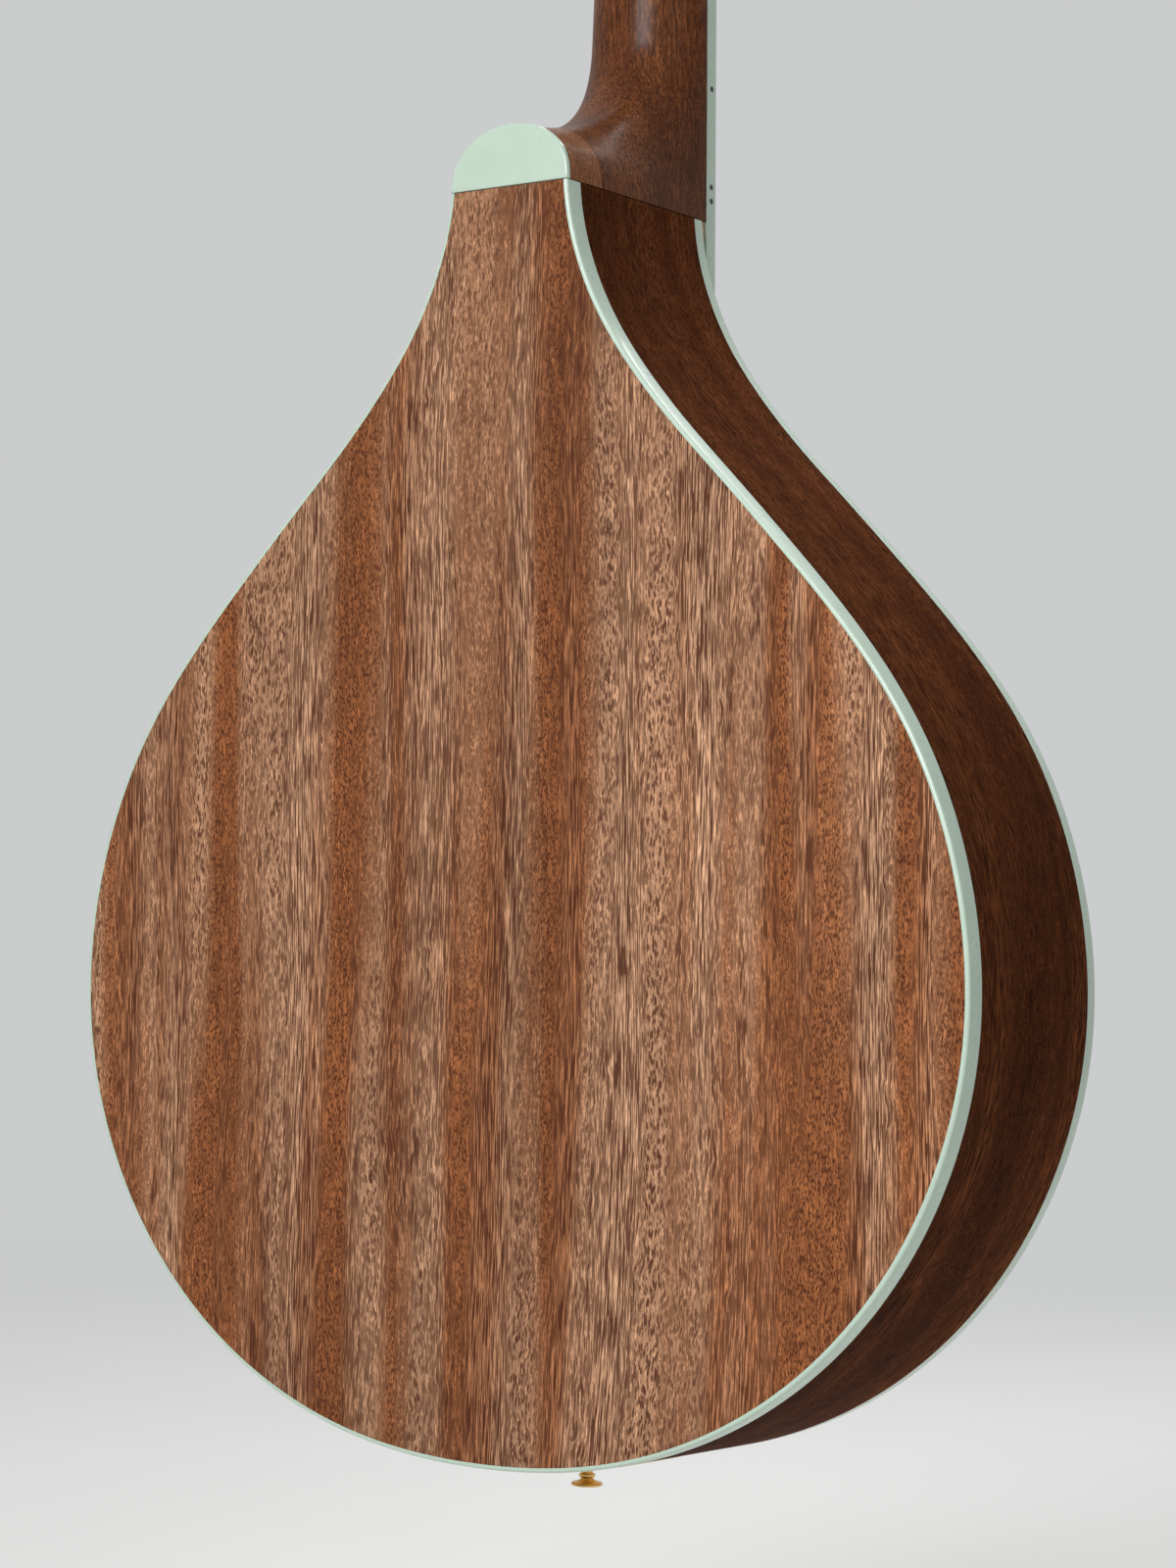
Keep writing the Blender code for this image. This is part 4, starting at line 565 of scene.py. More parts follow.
class Materials:
    """Makes each finish once and hands it out."""

    def __init__(self) -> None:
        self.wood = wood_group()
        self.mottle = mottle_group()
        self.made: dict[str, bpy.types.Material] = {}

    def _start(self, name: str) -> tuple:
        """A new material with its Principled shader and a Nodes helper."""
        material = bpy.data.materials.new(name)
        material.use_nodes = True
        shader = material.node_tree.nodes["Principled BSDF"]
        return material, shader, Nodes(material.node_tree)

    def _bump(self, n: Nodes, shader: bpy.types.Node, height: object, distance: float) -> None:
        """Feeds a height to the shader's normal."""
        bump = n.add("ShaderNodeBump")
        bump.inputs["Strength"].default_value = 0.6
        bump.inputs["Distance"].default_value = distance
        n.link(height, bump.inputs["Height"])
        n.link(bump.outputs[0], shader.inputs["Normal"])

    def of_wood(self, finish: WoodFinish) -> bpy.types.Material:
        """The material of a wood."""
        if finish.name in self.made:
            return self.made[finish.name]
        material, shader, n = self._start(finish.name)
        if finish.way is Way.ALONG_RIM:
            place = n.add("ShaderNodeAttribute", attribute_name="grain").outputs["Vector"]
        else:
            place = n.add("ShaderNodeTexCoord").outputs["Object"]
        if finish.way is Way.ACROSS:
            turn = n.add("ShaderNodeVectorRotate", rotation_type="Y_AXIS")
            n.link(place, turn.inputs["Vector"])
            turn.inputs["Angle"].default_value = math.pi / 2
            place = turn.outputs[0]
        shift = (finish.seed, finish.seed * 0.37, finish.seed * 0.11)
        group = n.add("ShaderNodeGroup")
        group.node_tree = self.wood
        n.link(n.scaled(place, (1.0, 1.0, 1.0), shift), group.inputs["Vector"])
        for label, value in (
            ("Light", finish.light), ("Dark", finish.dark), ("Pore", finish.pore),
            ("Band Width", finish.band_width), ("Band Strength", finish.band_strength),
            ("Pore Density", finish.pore_density), ("Pore Width", finish.pore_width),
            ("Figure", finish.figure), ("Roughness", finish.roughness),
            ("Band Run", finish.band_run), ("Fibre", finish.fibre),
        ):
            n.link(value, group.inputs[label])
        n.link(group.outputs["Color"], shader.inputs["Base Color"])
        n.link(group.outputs["Roughness"], shader.inputs["Roughness"])
        self._bump(n, shader, group.outputs["Height"], 0.00004)
        shader.inputs["Specular IOR Level"].default_value = finish.specular
        shader.inputs["Coat Weight"].default_value = finish.coat
        shader.inputs["Coat Roughness"].default_value = finish.coat_roughness
        self.made[finish.name] = material
        return material

    def of_plain(self, finish: PlainFinish) -> bpy.types.Material:
        """The material of a plastic, bone or metal."""
        if finish.name in self.made:
            return self.made[finish.name]
        material, shader, n = self._start(finish.name)
        group = n.add("ShaderNodeGroup")
        group.node_tree = self.mottle
        n.link(n.add("ShaderNodeTexCoord").outputs["Object"], group.inputs["Vector"])
        for label, value in (
            ("First", finish.colour), ("Second", finish.second), ("Size", finish.mottle_size),
            ("Roughness", finish.roughness),
        ):
            n.link(value, group.inputs[label])
        n.link(group.outputs["Color"], shader.inputs["Base Color"])
        n.link(group.outputs["Roughness"], shader.inputs["Roughness"])
        if finish.bump:
            self._bump(n, shader, group.outputs["Height"], finish.bump)
        shader.inputs["Metallic"].default_value = finish.metallic
        if finish.coat:
            shader.inputs["Coat Weight"].default_value = finish.coat
            shader.inputs["Coat Roughness"].default_value = 0.08
        self.made[finish.name] = material
        return material

    def of(self, finish: object) -> bpy.types.Material:
        """The material of any finish."""
        return self.of_wood(finish) if isinstance(finish, WoodFinish) else self.of_plain(finish)


def finished(name: str, bm: bmesh.types.BMesh, material: bpy.types.Material, sharp: float = 40.0) -> bpy.types.Object:
    """Makes an object of a bmesh, smooth up to an angle in degrees."""
    bmesh.ops.recalc_face_normals(bm, faces=bm.faces[:])
    mesh = bpy.data.meshes.new(name)
    bm.to_mesh(mesh)
    bm.free()
    mesh.materials.append(material)
    mesh.shade_smooth()
    mesh.set_sharp_from_angle(angle=math.radians(sharp))
    obj = bpy.data.objects.new(name, mesh)
    bpy.context.scene.collection.objects.link(obj)
    return obj


def skin(rings: Sequence) -> bmesh.types.BMesh:
    """A skin over rings of equally many points, closed at both ends."""
    bm = bmesh.new()
    made = [[bm.verts.new(point) for point in ring] for ring in rings]
    count = len(made[0])
    for first, second in zip(made, made[1:]):
        for k in range(count):
            bm.faces.new((first[k], first[(k + 1) % count], second[(k + 1) % count], second[k]))
    bm.faces.new(made[0][::-1])
    bm.faces.new(made[-1])
    return bm


def cut_away(bm: bmesh.types.BMesh, point: tuple, normal: tuple) -> None:
    """Removes what lies on the normal's side of a plane and closes the cut."""
    geometry = bm.verts[:] + bm.edges[:] + bm.faces[:]
    found = bmesh.ops.bisect_plane(bm, geom=geometry, plane_co=point, plane_no=normal, clear_outer=True)
    edges = [part for part in found["geom_cut"] if isinstance(part, bmesh.types.BMEdge)]
    bmesh.ops.triangle_fill(bm, edges=edges, use_beauty=True)


def turned(profile: Sequence, steps: int = 32) -> bmesh.types.BMesh:
    """(radius, height) pairs spun about Z, starting and ending on the axis."""
    bm = bmesh.new()
    rings = []
    for radius, height in profile:
        if radius < 1e-7:
            rings.append([bm.verts.new((0, 0, height))])
            continue
        rings.append([
            bm.verts.new((radius * math.cos(a), radius * math.sin(a), height))
            for a in np.linspace(0, 2 * math.pi, steps, endpoint=False)
        ])
    for first, second in zip(rings, rings[1:]):
        for k in range(steps):
            a, b = first[k % len(first)], first[(k + 1) % len(first)]
            c, d = second[(k + 1) % len(second)], second[k % len(second)]
            corners = [v for i, v in enumerate((a, b, c, d)) if v not in (a, b, c, d)[:i]]
            if len(corners) > 2:
                bm.faces.new(corners)
    return bm


def ring_rounds(radius: float, wire: float, steps: int = 32) -> bmesh.types.BMesh:
    """A ring of round wire about Z."""
    bm = bmesh.new()
    rings = []
    for a in np.linspace(0, 2 * math.pi, steps, endpoint=False):
        rings.append([
            bm.verts.new((
                (radius + wire * math.cos(b)) * math.cos(a), (radius + wire * math.cos(b)) * math.sin(a),
                wire * math.sin(b),
            ))
            for b in np.linspace(0, 2 * math.pi, 10, endpoint=False)
        ])
    for k, first in enumerate(rings):
        second = rings[(k + 1) % len(rings)]
        for j in range(10):
            bm.faces.new((first[j], first[(j + 1) % 10], second[(j + 1) % 10], second[j]))
    return bm


def tube(path: Sequence, radius: float, sides: int = 10) -> bmesh.types.BMesh:
    """A round tube along a path, its section carried on without a twist."""
    points = [Vector(p) for p in path]
    ways = [(b - a).normalized() for a, b in zip(points, points[1:])]
    ways = [ways[0], *[(a + b).normalized() for a, b in zip(ways, ways[1:])], ways[-1]]
    across = ways[0].orthogonal().normalized()
    rings = []
    for point, way in zip(points, ways):
        across = (across - way * across.dot(way)).normalized()
        up = way.cross(across)
        rings.append([
            point + (across * math.cos(a) + up * math.sin(a)) * radius
            for a in np.linspace(0, 2 * math.pi, sides, endpoint=False)
        ])
    return skin(rings)


def inset_loop(loop: Sequence, amount: float) -> list:
    """A closed anticlockwise loop in a plane moved inwards, its corners kept in line."""
    points = np.array(loop, float)
    ways = np.roll(points, -1, axis=0) - points
    ways /= np.linalg.norm(ways, axis=1)[:, None]
    outwards = np.stack([ways[:, 1], -ways[:, 0]], axis=1)
    both = outwards + np.roll(outwards, 1, axis=0)
    both /= np.linalg.norm(both, axis=1)[:, None]
    lean = np.maximum(np.sum(both * outwards, axis=1), 0.35)
    return [tuple(p) for p in points - both * (amount / lean)[:, None]]


def slab(loop: Sequence, y_front: float, y_back: float, front_round: float, back_round: float) -> bmesh.types.BMesh:
    """An anticlockwise XZ outline given its thickness, with rounded edges on its two faces."""
    levels = [
        (front_round * (1 - math.sin(a)), y_front + front_round * (1 - math.cos(a)))
        for a in np.linspace(0, math.pi / 2, 5)
    ] if front_round else [(0.0, y_front)]
    levels += [
        (back_round * (1 - math.cos(a)), y_back - back_round * (1 - math.sin(a)))
        for a in np.linspace(0, math.pi / 2, 5)
    ] if back_round else [(0.0, y_back)]
    return skin([[(x, y, z) for x, z in inset_loop(loop, amount)] for amount, y in levels])


def rounded_box(low: tuple, high: tuple, radius: float) -> bmesh.types.BMesh:
    """A block with rounded edges."""
    bm = bmesh.new()
    size = Vector(high) - Vector(low)
    middle = (Vector(high) + Vector(low)) / 2
    bmesh.ops.create_cube(bm, size=1.0, matrix=Matrix.Translation(middle) @ Matrix.Diagonal((*size, 1)))
    bmesh.ops.bevel(bm, geom=bm.edges[:], offset=radius, segments=3, profile=0.5, affect="EDGES")
    return bm


def screw_head(radius: float) -> bmesh.types.BMesh:
    """A low domed screw head on +Z with a cross cut in it."""
    profile = [(radius, -0.0002), (radius, 0.0)]
    profile += [
        (radius * math.cos(a), radius * 0.34 * math.sin(a)) for a in np.linspace(0.15, math.pi / 2 - 0.2, 5)
    ]
    bm = turned([(0.0, -0.0002), *profile, (radius * 0.18, radius * 0.20), (0.0, radius * 0.14)], 24)
    for vert in bm.verts:
        x, y, z = vert.co
        if z > radius * 0.15 and min(abs(x), abs(y)) < radius * 0.16:
            vert.co.z -= radius * 0.12
    return bm


def flat_piece(
    name: str, loops: Sequence, y_front: float, y_back: float, material: bpy.types.Material, bevel: float = 0.0,
) -> bpy.types.Object:
    """An outline in the XZ plane with any holes, given its thickness along Y."""
    curve = bpy.data.curves.new(name, "CURVE")
    curve.dimensions = "2D"
    curve.fill_mode = "BOTH"
    curve.extrude = (y_back - y_front) / 2 - bevel
    curve.bevel_depth = bevel
    curve.bevel_resolution = 2
    curve.offset = -bevel
    for loop in loops:
        spline = curve.splines.new("POLY")
        spline.points.add(len(loop) - 1)
        for point, (x, z) in zip(spline.points, loop):
            point.co = (x, z, 0, 1)
        spline.use_cyclic_u = True
    drawn = bpy.data.objects.new(name + "_outline", curve)
    bpy.context.scene.collection.objects.link(drawn)
    graph = bpy.context.evaluated_depsgraph_get()
    mesh = bpy.data.meshes.new_from_object(drawn.evaluated_get(graph))
    bpy.data.objects.remove(drawn, do_unlink=True)
    bm = bmesh.new()
    bm.from_mesh(mesh)
    bmesh.ops.remove_doubles(bm, verts=bm.verts[:], dist=1e-6)
    bm.transform(Matrix.Translation((0, (y_front + y_back) / 2, 0)) @ Matrix.Rotation(math.pi / 2, 4, "X"))
    return finished(name, bm, material)


def smooth_curve(points: Sequence, start_way: tuple, end_way: tuple, steps: int) -> np.ndarray:
    """Evenly spaced points on the cubic curve through some points, clamped at both ends."""
    points = np.array(points, float)
    gaps = np.linalg.norm(np.diff(points, axis=0), axis=1)
    knots = np.concatenate([[0.0], np.cumsum(gaps)])
    count = len(points)
    system = np.zeros((count, count))
    right = np.zeros((count, 2))
    system[0, 0] = system[-1, -1] = 1.0
    right[0], right[-1] = start_way, end_way
    for k in range(1, count - 1):
        before, after = gaps[k - 1], gaps[k]
        system[k, k - 1: k + 2] = after, 2 * (before + after), before
        right[k] = 3 * (
            after * (points[k] - points[k - 1]) / before + before * (points[k + 1] - points[k]) / after
        )
    ways = np.linalg.solve(system, right)
    found = []
    for where in np.linspace(0.0, knots[-1], steps + 1):
        k = min(int(np.searchsorted(knots, where, side="right")) - 1, count - 2)
        width = gaps[k]
        t = (where - knots[k]) / width
        found.append(
            (2 * t ** 3 - 3 * t ** 2 + 1) * points[k] + (t ** 3 - 2 * t ** 2 + t) * width * ways[k]
            + (3 * t ** 2 - 2 * t ** 3) * points[k + 1] + (t ** 3 - t ** 2) * width * ways[k + 1]
        )
    return np.array(found)


def circle(middle: tuple, radius: float, steps: int = 32) -> list:
    """An anticlockwise circle in the XZ plane."""
    return [
        (middle[0] + radius * math.cos(a), middle[1] + radius * math.sin(a))
        for a in np.linspace(0, 2 * math.pi, steps, endpoint=False)
    ]


def fret_z(number: int) -> float:
    """Height of a fret."""
    return NUT_Z - SCALE_LENGTH * (1 - 2 ** (-number / 12))


def fingerboard_half_width(z: float) -> float:
    """Half the fingerboard's width: a straight taper from the nut to the body joint and on."""
    slope = (HEEL_HALF_WIDTH - NUT_WIDTH / 2) / (NUT_Z - BODY_JOINT_Z)
    return NUT_WIDTH / 2 + slope * (NUT_Z - z)


def course_places(spread: float, pair: float) -> list:
    """The eight strings across, bass first, as x."""
    places = []
    for course in range(4):
        middle = -spread + 2 * spread * course / 3
        places += [middle - pair / 2, middle + pair / 2]
    return places


@dataclass
class Outline:
    """The body's edge: the treble half from the tail to the heel, and its outward normals."""

    half: np.ndarray = field(init=False)
    normals: np.ndarray = field(init=False)

    def __post_init__(self) -> None:
        waistline = BODY_JOINT_Z - JOINT_TO_WAISTLINE
        points = [(half_width, waistline + height) for half_width, height in HALF_OUTLINE]
        points.append((HEEL_HALF_WIDTH, BODY_JOINT_Z))
        self.half = smooth_curve(points, (1.0, 0.0), (-0.08, 1.0), OUTLINE_STEPS)
        ways = np.gradient(self.half, axis=0)
        ways /= np.linalg.norm(ways, axis=1)[:, None]
        self.normals = np.stack([ways[:, 1], -ways[:, 0]], axis=1)
        self.normals[0] = (0.0, -1.0)
        self.normals[-1] = (1.0, 0.0)

    def inset(self, amount: float) -> np.ndarray:
        """The treble half moved inwards."""
        return self.half - self.normals * amount

    def loop(self, amount: float) -> list:
        """The whole edge moved inwards, closed across the neck joint."""
        treble = self.inset(amount)
        return [tuple(p) for p in np.concatenate([treble, treble[:0:-1] * (-1, 1)])]

    def sweep(
        self, name: str, section: Sequence, material: bpy.types.Material, side: Side | None = None,
    ) -> bpy.types.Object:
        """Sweeps (inset, y) pairs along one half or the whole edge, with a grain vector on it."""
        offsets = [self.inset(amount) for amount, _ in section]
        treble = [
            [(offsets[k][i][0], section[k][1], offsets[k][i][1]) for k in range(len(section))]
            for i in range(len(self.half))
        ]
        bass = [[(-x, y, z) for x, y, z in ring] for ring in treble]
        if side is None:
            rings = bass[:0:-1] + treble
        else:
            rings = treble if side is Side.TREBLE else bass
            rings[0] = [(x + side.value * GAP / 2, y, z) for x, y, z in rings[0]]
        obj = finished(name, skin(rings), material)
        along = np.concatenate([[0.0], np.cumsum(np.linalg.norm(np.diff(self.half, axis=0), axis=1))])
        if side is None:
            along = np.concatenate([-along[:0:-1], along])
        grain = obj.data.attributes.new("grain", "FLOAT_VECTOR", "POINT")
        values = [(y, amount, float(a)) for a in along for amount, y in section]
        grain.data.foreach_set("vector", np.array(values, np.float32).ravel())
        return obj


@dataclass
class Assembly:
    """A group of pieces that take their finishes from one place."""

    materials: Materials

    def build(self) -> None:
        """Makes every piece of the group."""
        raise NotImplementedError

    def place(
        self, obj: bpy.types.Object, nodes: Sequence = (), slot: str = "", body: str = FRAME_BODY,
    ) -> bpy.types.Object:
        """Lets a piece ride on a body, in the place of CAD nodes where some are named."""
        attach(obj, body)
        if nodes:
            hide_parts(*nodes)
        return obj

    def add(
        self, name: str, bm: bmesh.types.BMesh, finish: object, nodes: Sequence = (), slot: str = "",
        body: str = FRAME_BODY, matrix: Matrix | None = None, sharp: float = 40.0,
    ) -> bpy.types.Object:
        """Makes a piece of a bmesh and places it.

        Args:
            name: The piece's name.
            bm: Its mesh, used up here.
            finish: Its wood or plain finish.
            nodes: CAD nodes that it stands for.
            slot: The record's material slot; not used.
            body: The body that it moves with.
            matrix: Where the mesh goes, if not in place yet.
            sharp: Edges over this angle in degrees stay sharp.

        Returns:
            The new object.
        """
        if matrix is not None:
            bm.transform(matrix)
        obj = finished(name, bm, self.materials.of(finish), sharp)
        return self.place(obj, nodes, slot, body)


@dataclass
class Body(Assembly):
    """Back, soundboard, sides, bindings and rosette."""

    outline: Outline = field(default_factory=Outline)

    def build(self) -> None:
        """Makes every piece of the body."""
        self.make_plates()
        self.make_bindings()
        self.make_sides()
        self.make_rosette()

    def make_plates(self) -> None:
        """The back and the soundboard, with outlines finer than the part's."""
        loop = self.outline.loop(BINDING_THICKNESS + 0.00005)
        back = flat_piece("back", [loop], BACK_Y - PLATE_THICKNESS, BACK_Y, self.materials.of(BACK_WOOD))
        self.place(back, ["back_plate"], "back_wood")
        low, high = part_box("rosette")
        middle = (0.0, (low.z + high.z) / 2)
        radius = (high.x - low.x) / 2 - ROSETTE_WIDTH - HOLE_INSIDE_ROSETTE
        top = flat_piece(
            "top", [loop, circle(middle, radius, 96)], SOUNDBOARD_Y, SOUNDBOARD_Y + PLATE_THICKNESS,
            self.materials.of(TOP_WOOD),
        )
        self.place(top, ["soundboard"], "top_wood")

    def make_bindings(self) -> None:
        """The two bindings, with an evenly rounded outer corner."""
        for name, node, y, way, height in (
            ("back_edge_binding", "back_binding", BACK_Y, -1, BACK_BINDING_HEIGHT),
            ("top_edge_binding", "top_binding", SOUNDBOARD_Y, 1, TOP_BINDING_HEIGHT),
        ):
            section = [
                (BINDING_ROUND * (1 - math.sin(a)), y + way * BINDING_ROUND * (1 - math.cos(a)))
                for a in np.linspace(0, math.pi / 2, 6)
            ]
            section += [(0.0, y + way * height), (BINDING_THICKNESS, y + way * height), (BINDING_THICKNESS, y)]
            piece = self.outline.sweep(name, section, self.materials.of(BINDING))
            self.place(piece, [node], "binding")

    def make_sides(self) -> None:
        """The two bent sides, meeting at the tail."""
        back_edge = BACK_Y - PLATE_THICKNESS
        front_edge = SOUNDBOARD_Y + PLATE_THICKNESS
        back_step = BACK_Y - BACK_BINDING_HEIGHT - 0.00002
        front_step = SOUNDBOARD_Y + TOP_BINDING_HEIGHT + 0.00002
        rebate = BINDING_THICKNESS + 0.00005
        section = [
            (0.0, front_step), (0.0, back_step), (rebate, back_step), (rebate, back_edge),
            (SIDE_THICKNESS, back_edge), (SIDE_THICKNESS, front_edge), (rebate, front_edge),
            (rebate, front_step),
        ]
        # the sides take the darker sapele, whose colours carry painted shade
        for side in Side:
            piece = self.outline.sweep(f"side_{side.label}_wood", section, self.materials.of(SHADED_SIDE_WOOD), side)
            self.place(piece, [f"side_{side.label}"], "side_wood")

    def make_rosette(self) -> None:
        """Rings of pale and dark lines let into the soundboard."""
        low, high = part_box("rosette")
        middle = (0.0, (low.z + high.z) / 2)
        outer = (high.x - low.x) / 2
        inner = outer - ROSETTE_WIDTH
        edges = (outer, outer - 0.0007, outer - 0.0014, inner + 0.0014, inner + 0.0007, inner)
        finishes = (BINDING, BLACK, DARK_WOOD, BLACK, BINDING)
        for number, (far, near, finish) in enumerate(zip(edges, edges[1:], finishes)):
            ring = flat_piece(
                f"rosette_ring_{number + 1}", [circle(middle, far, 96), circle(middle, near, 96)],
                low.y - 0.00003, high.y, self.materials.of(finish),
            )
            self.place(ring, ["rosette"], "binding" if finish is BINDING else "dark_wood")


@dataclass
class Neck(Assembly):
    """Neck shaft with its heel, heel block and heel cap."""

    cap_y: float = BACK_Y - HEEL_CAP_THICKNESS - GAP
    split_y: float = BACK_Y - HEEL_CAP_THICKNESS - GAP - HEEL_BLOCK_DEPTH

    def build(self) -> None:
        """Makes the neck's pieces."""
        self.make_shaft()
        self.make_heel_block()
        self.make_heel_cap()

    def ring(self, z: float, back_y: float, back_half: float = 0.0006, power: float = PROFILE_POWER) -> list:
        """One level of the neck, flat in front.

        Args:
            z: Its height.
            back_y: How far back it reaches.
            back_half: Half the width of its flat back.
            power: 1 for straight flanks, 2 for round ones.

        Returns:
            The level's points, once round.
        """
        front_y = NECK_FRONT_Y + GAP
        front_half = fingerboard_half_width(min(z, NUT_Z))
        treble = []
        for k in range(RING_STEPS + 1):
            down = 1 - math.cos((k / RING_STEPS) ** 1.2 * math.pi / 2)
            share = (1 - (1 - down) ** power) ** (1 / power)
            treble.append((back_half + (front_half - back_half) * share, back_y + (front_y - back_y) * down))
        return [(x, y, z) for x, y in treble] + [(-x, y, z) for x, y in reversed(treble)]

    def heel_rings(self) -> list:
        """The heel from the body joint to the top of its cove."""
        neck_back = NECK_FRONT_Y + GAP + NECK_DEPTH_HEEL
        heel_depth = self.cap_y - NECK_FRONT_Y - GAP
        levels = []
        for k in range(21):
            share = math.sin(math.pi / 2 * k / 20)
            flat = HEEL_HALF_WIDTH * math.sqrt(max(0.0, 1 - share ** 2.4))
            levels.append((HEEL_CAP_HEIGHT * share, self.cap_y, max(0.0006, flat)))
        for k in range(1, 41):
            share = (k / 40) ** 1.9
            rise = HEEL_CAP_HEIGHT + (HEEL_COVE_RISE - HEEL_CAP_HEIGHT) * share
            back = neck_back + (self.cap_y - neck_back) * (1 - math.sqrt(max(0.0, 1 - (1 - share) ** COVE_POWER)))
            levels.append((rise, back, 0.0006))
        rings = []
        for rise, back, flat in levels:
            # rounder as it gets shallower, so that the flanks run on without a ledge
            depth = back - NECK_FRONT_Y - GAP
            power = min(PROFILE_POWER, HEEL_POWER * math.log(heel_depth / FLANK_DEPTH) / math.log(depth / FLANK_DEPTH))
            rings.append(self.ring(BODY_JOINT_Z + GAP + rise, back, flat, power))
        return self.eased(rings)

    def eased(self, rings: list) -> list:
        """Rings whose flanks are smoothed up and down, ever more towards the fingerboard.

        Args:
            rings: Levels of equal count of points, from low to high.

        Returns:
            The same levels with the edge along the ridge kept and the flanks eased.
        """
        points = np.array(rings)
        heights = points[:, 0, 2]
        weights = np.gradient(heights)
        count = points.shape[1]
        result = points.copy()
        for j in range(count):
            reach = FLANK_REACH * min(j, count - 1 - j) / RING_STEPS
            if reach < 0.0002:
                continue
            for i, height in enumerate(heights):
                near = min(1.0, (height - heights[0]) / (2.5 * reach), (heights[-1] - height) / (2.5 * reach))
                share = np.exp(-((heights - height) / reach) ** 2 / 2) * weights
                smooth = (points[:, j, :2] * share[:, None]).sum(axis=0) / share.sum()
                result[i, j, :2] += (smooth - points[i, j, :2]) * near
        return [[tuple(point) for point in level] for level in result.tolist()]

    def make_shaft(self) -> None:
        """The neck from heel to headstock, its front planed along the headstock's face."""
        rings = self.heel_rings()
        heel_end = BODY_JOINT_Z + GAP + HEEL_COVE_RISE
        stations = (heel_end, NUT_Z - 0.12, NUT_Z - 0.02, NUT_Z, NUT_Z + 0.012)
        depths = (NECK_DEPTH_HEEL, 0.0165, NECK_DEPTH_NUT, NECK_DEPTH_NUT + 0.0005, NECK_DEPTH_NUT - 0.001)
        for z in [*np.linspace(heel_end, NUT_Z - 0.02, 14)[1:], NUT_Z - 0.01, NUT_Z, NUT_Z + 0.012]:
            rings.append(self.ring(float(z), NECK_FRONT_Y + GAP + float(np.interp(z, stations, depths))))
        bm = skin(rings)
        cut_away(bm, (0, self.split_y - GAP, 0), (0, 1, 0))
        face_way = HEADSTOCK_PLACE.to_3x3() @ Vector((0, -1, 0))
        cut_away(bm, tuple(HEADSTOCK_PLACE.translation), tuple(face_way))
        self.add("neck_shaft", bm, NECK_WOOD, ["neck"], "neck_wood")

    def make_heel_block(self) -> None:
        """The block glued on under the heel cap, of a lighter piece of wood."""
        bm = skin(self.heel_rings())
        cut_away(bm, (0, self.split_y, 0), (0, -1, 0))
        self.add("heel_block_wood", bm, HEEL_WOOD, ["heel_block"], "neck_wood")

    def make_heel_cap(self) -> None:
        """The cream cap on the heel, its edge softly rounded."""
        loop = [(-HEEL_HALF_WIDTH, BODY_JOINT_Z + GAP), (HEEL_HALF_WIDTH, BODY_JOINT_Z + GAP)]
        for k in range(1, 60):
            angle = math.pi * k / 60
            share = abs(math.cos(angle))
            loop.append((
                HEEL_HALF_WIDTH * math.copysign(share, math.cos(angle)),
                BODY_JOINT_Z + GAP + HEEL_CAP_HEIGHT * (1 - share ** 2) ** (1 / 2.4),
            ))
        bm = slab(loop, BACK_Y - HEEL_CAP_THICKNESS, BACK_Y, 0.0, 0.0006)
        self.add("heel_cap_plate", bm, BINDING, ["heel_cap"], "binding", sharp=50.0)


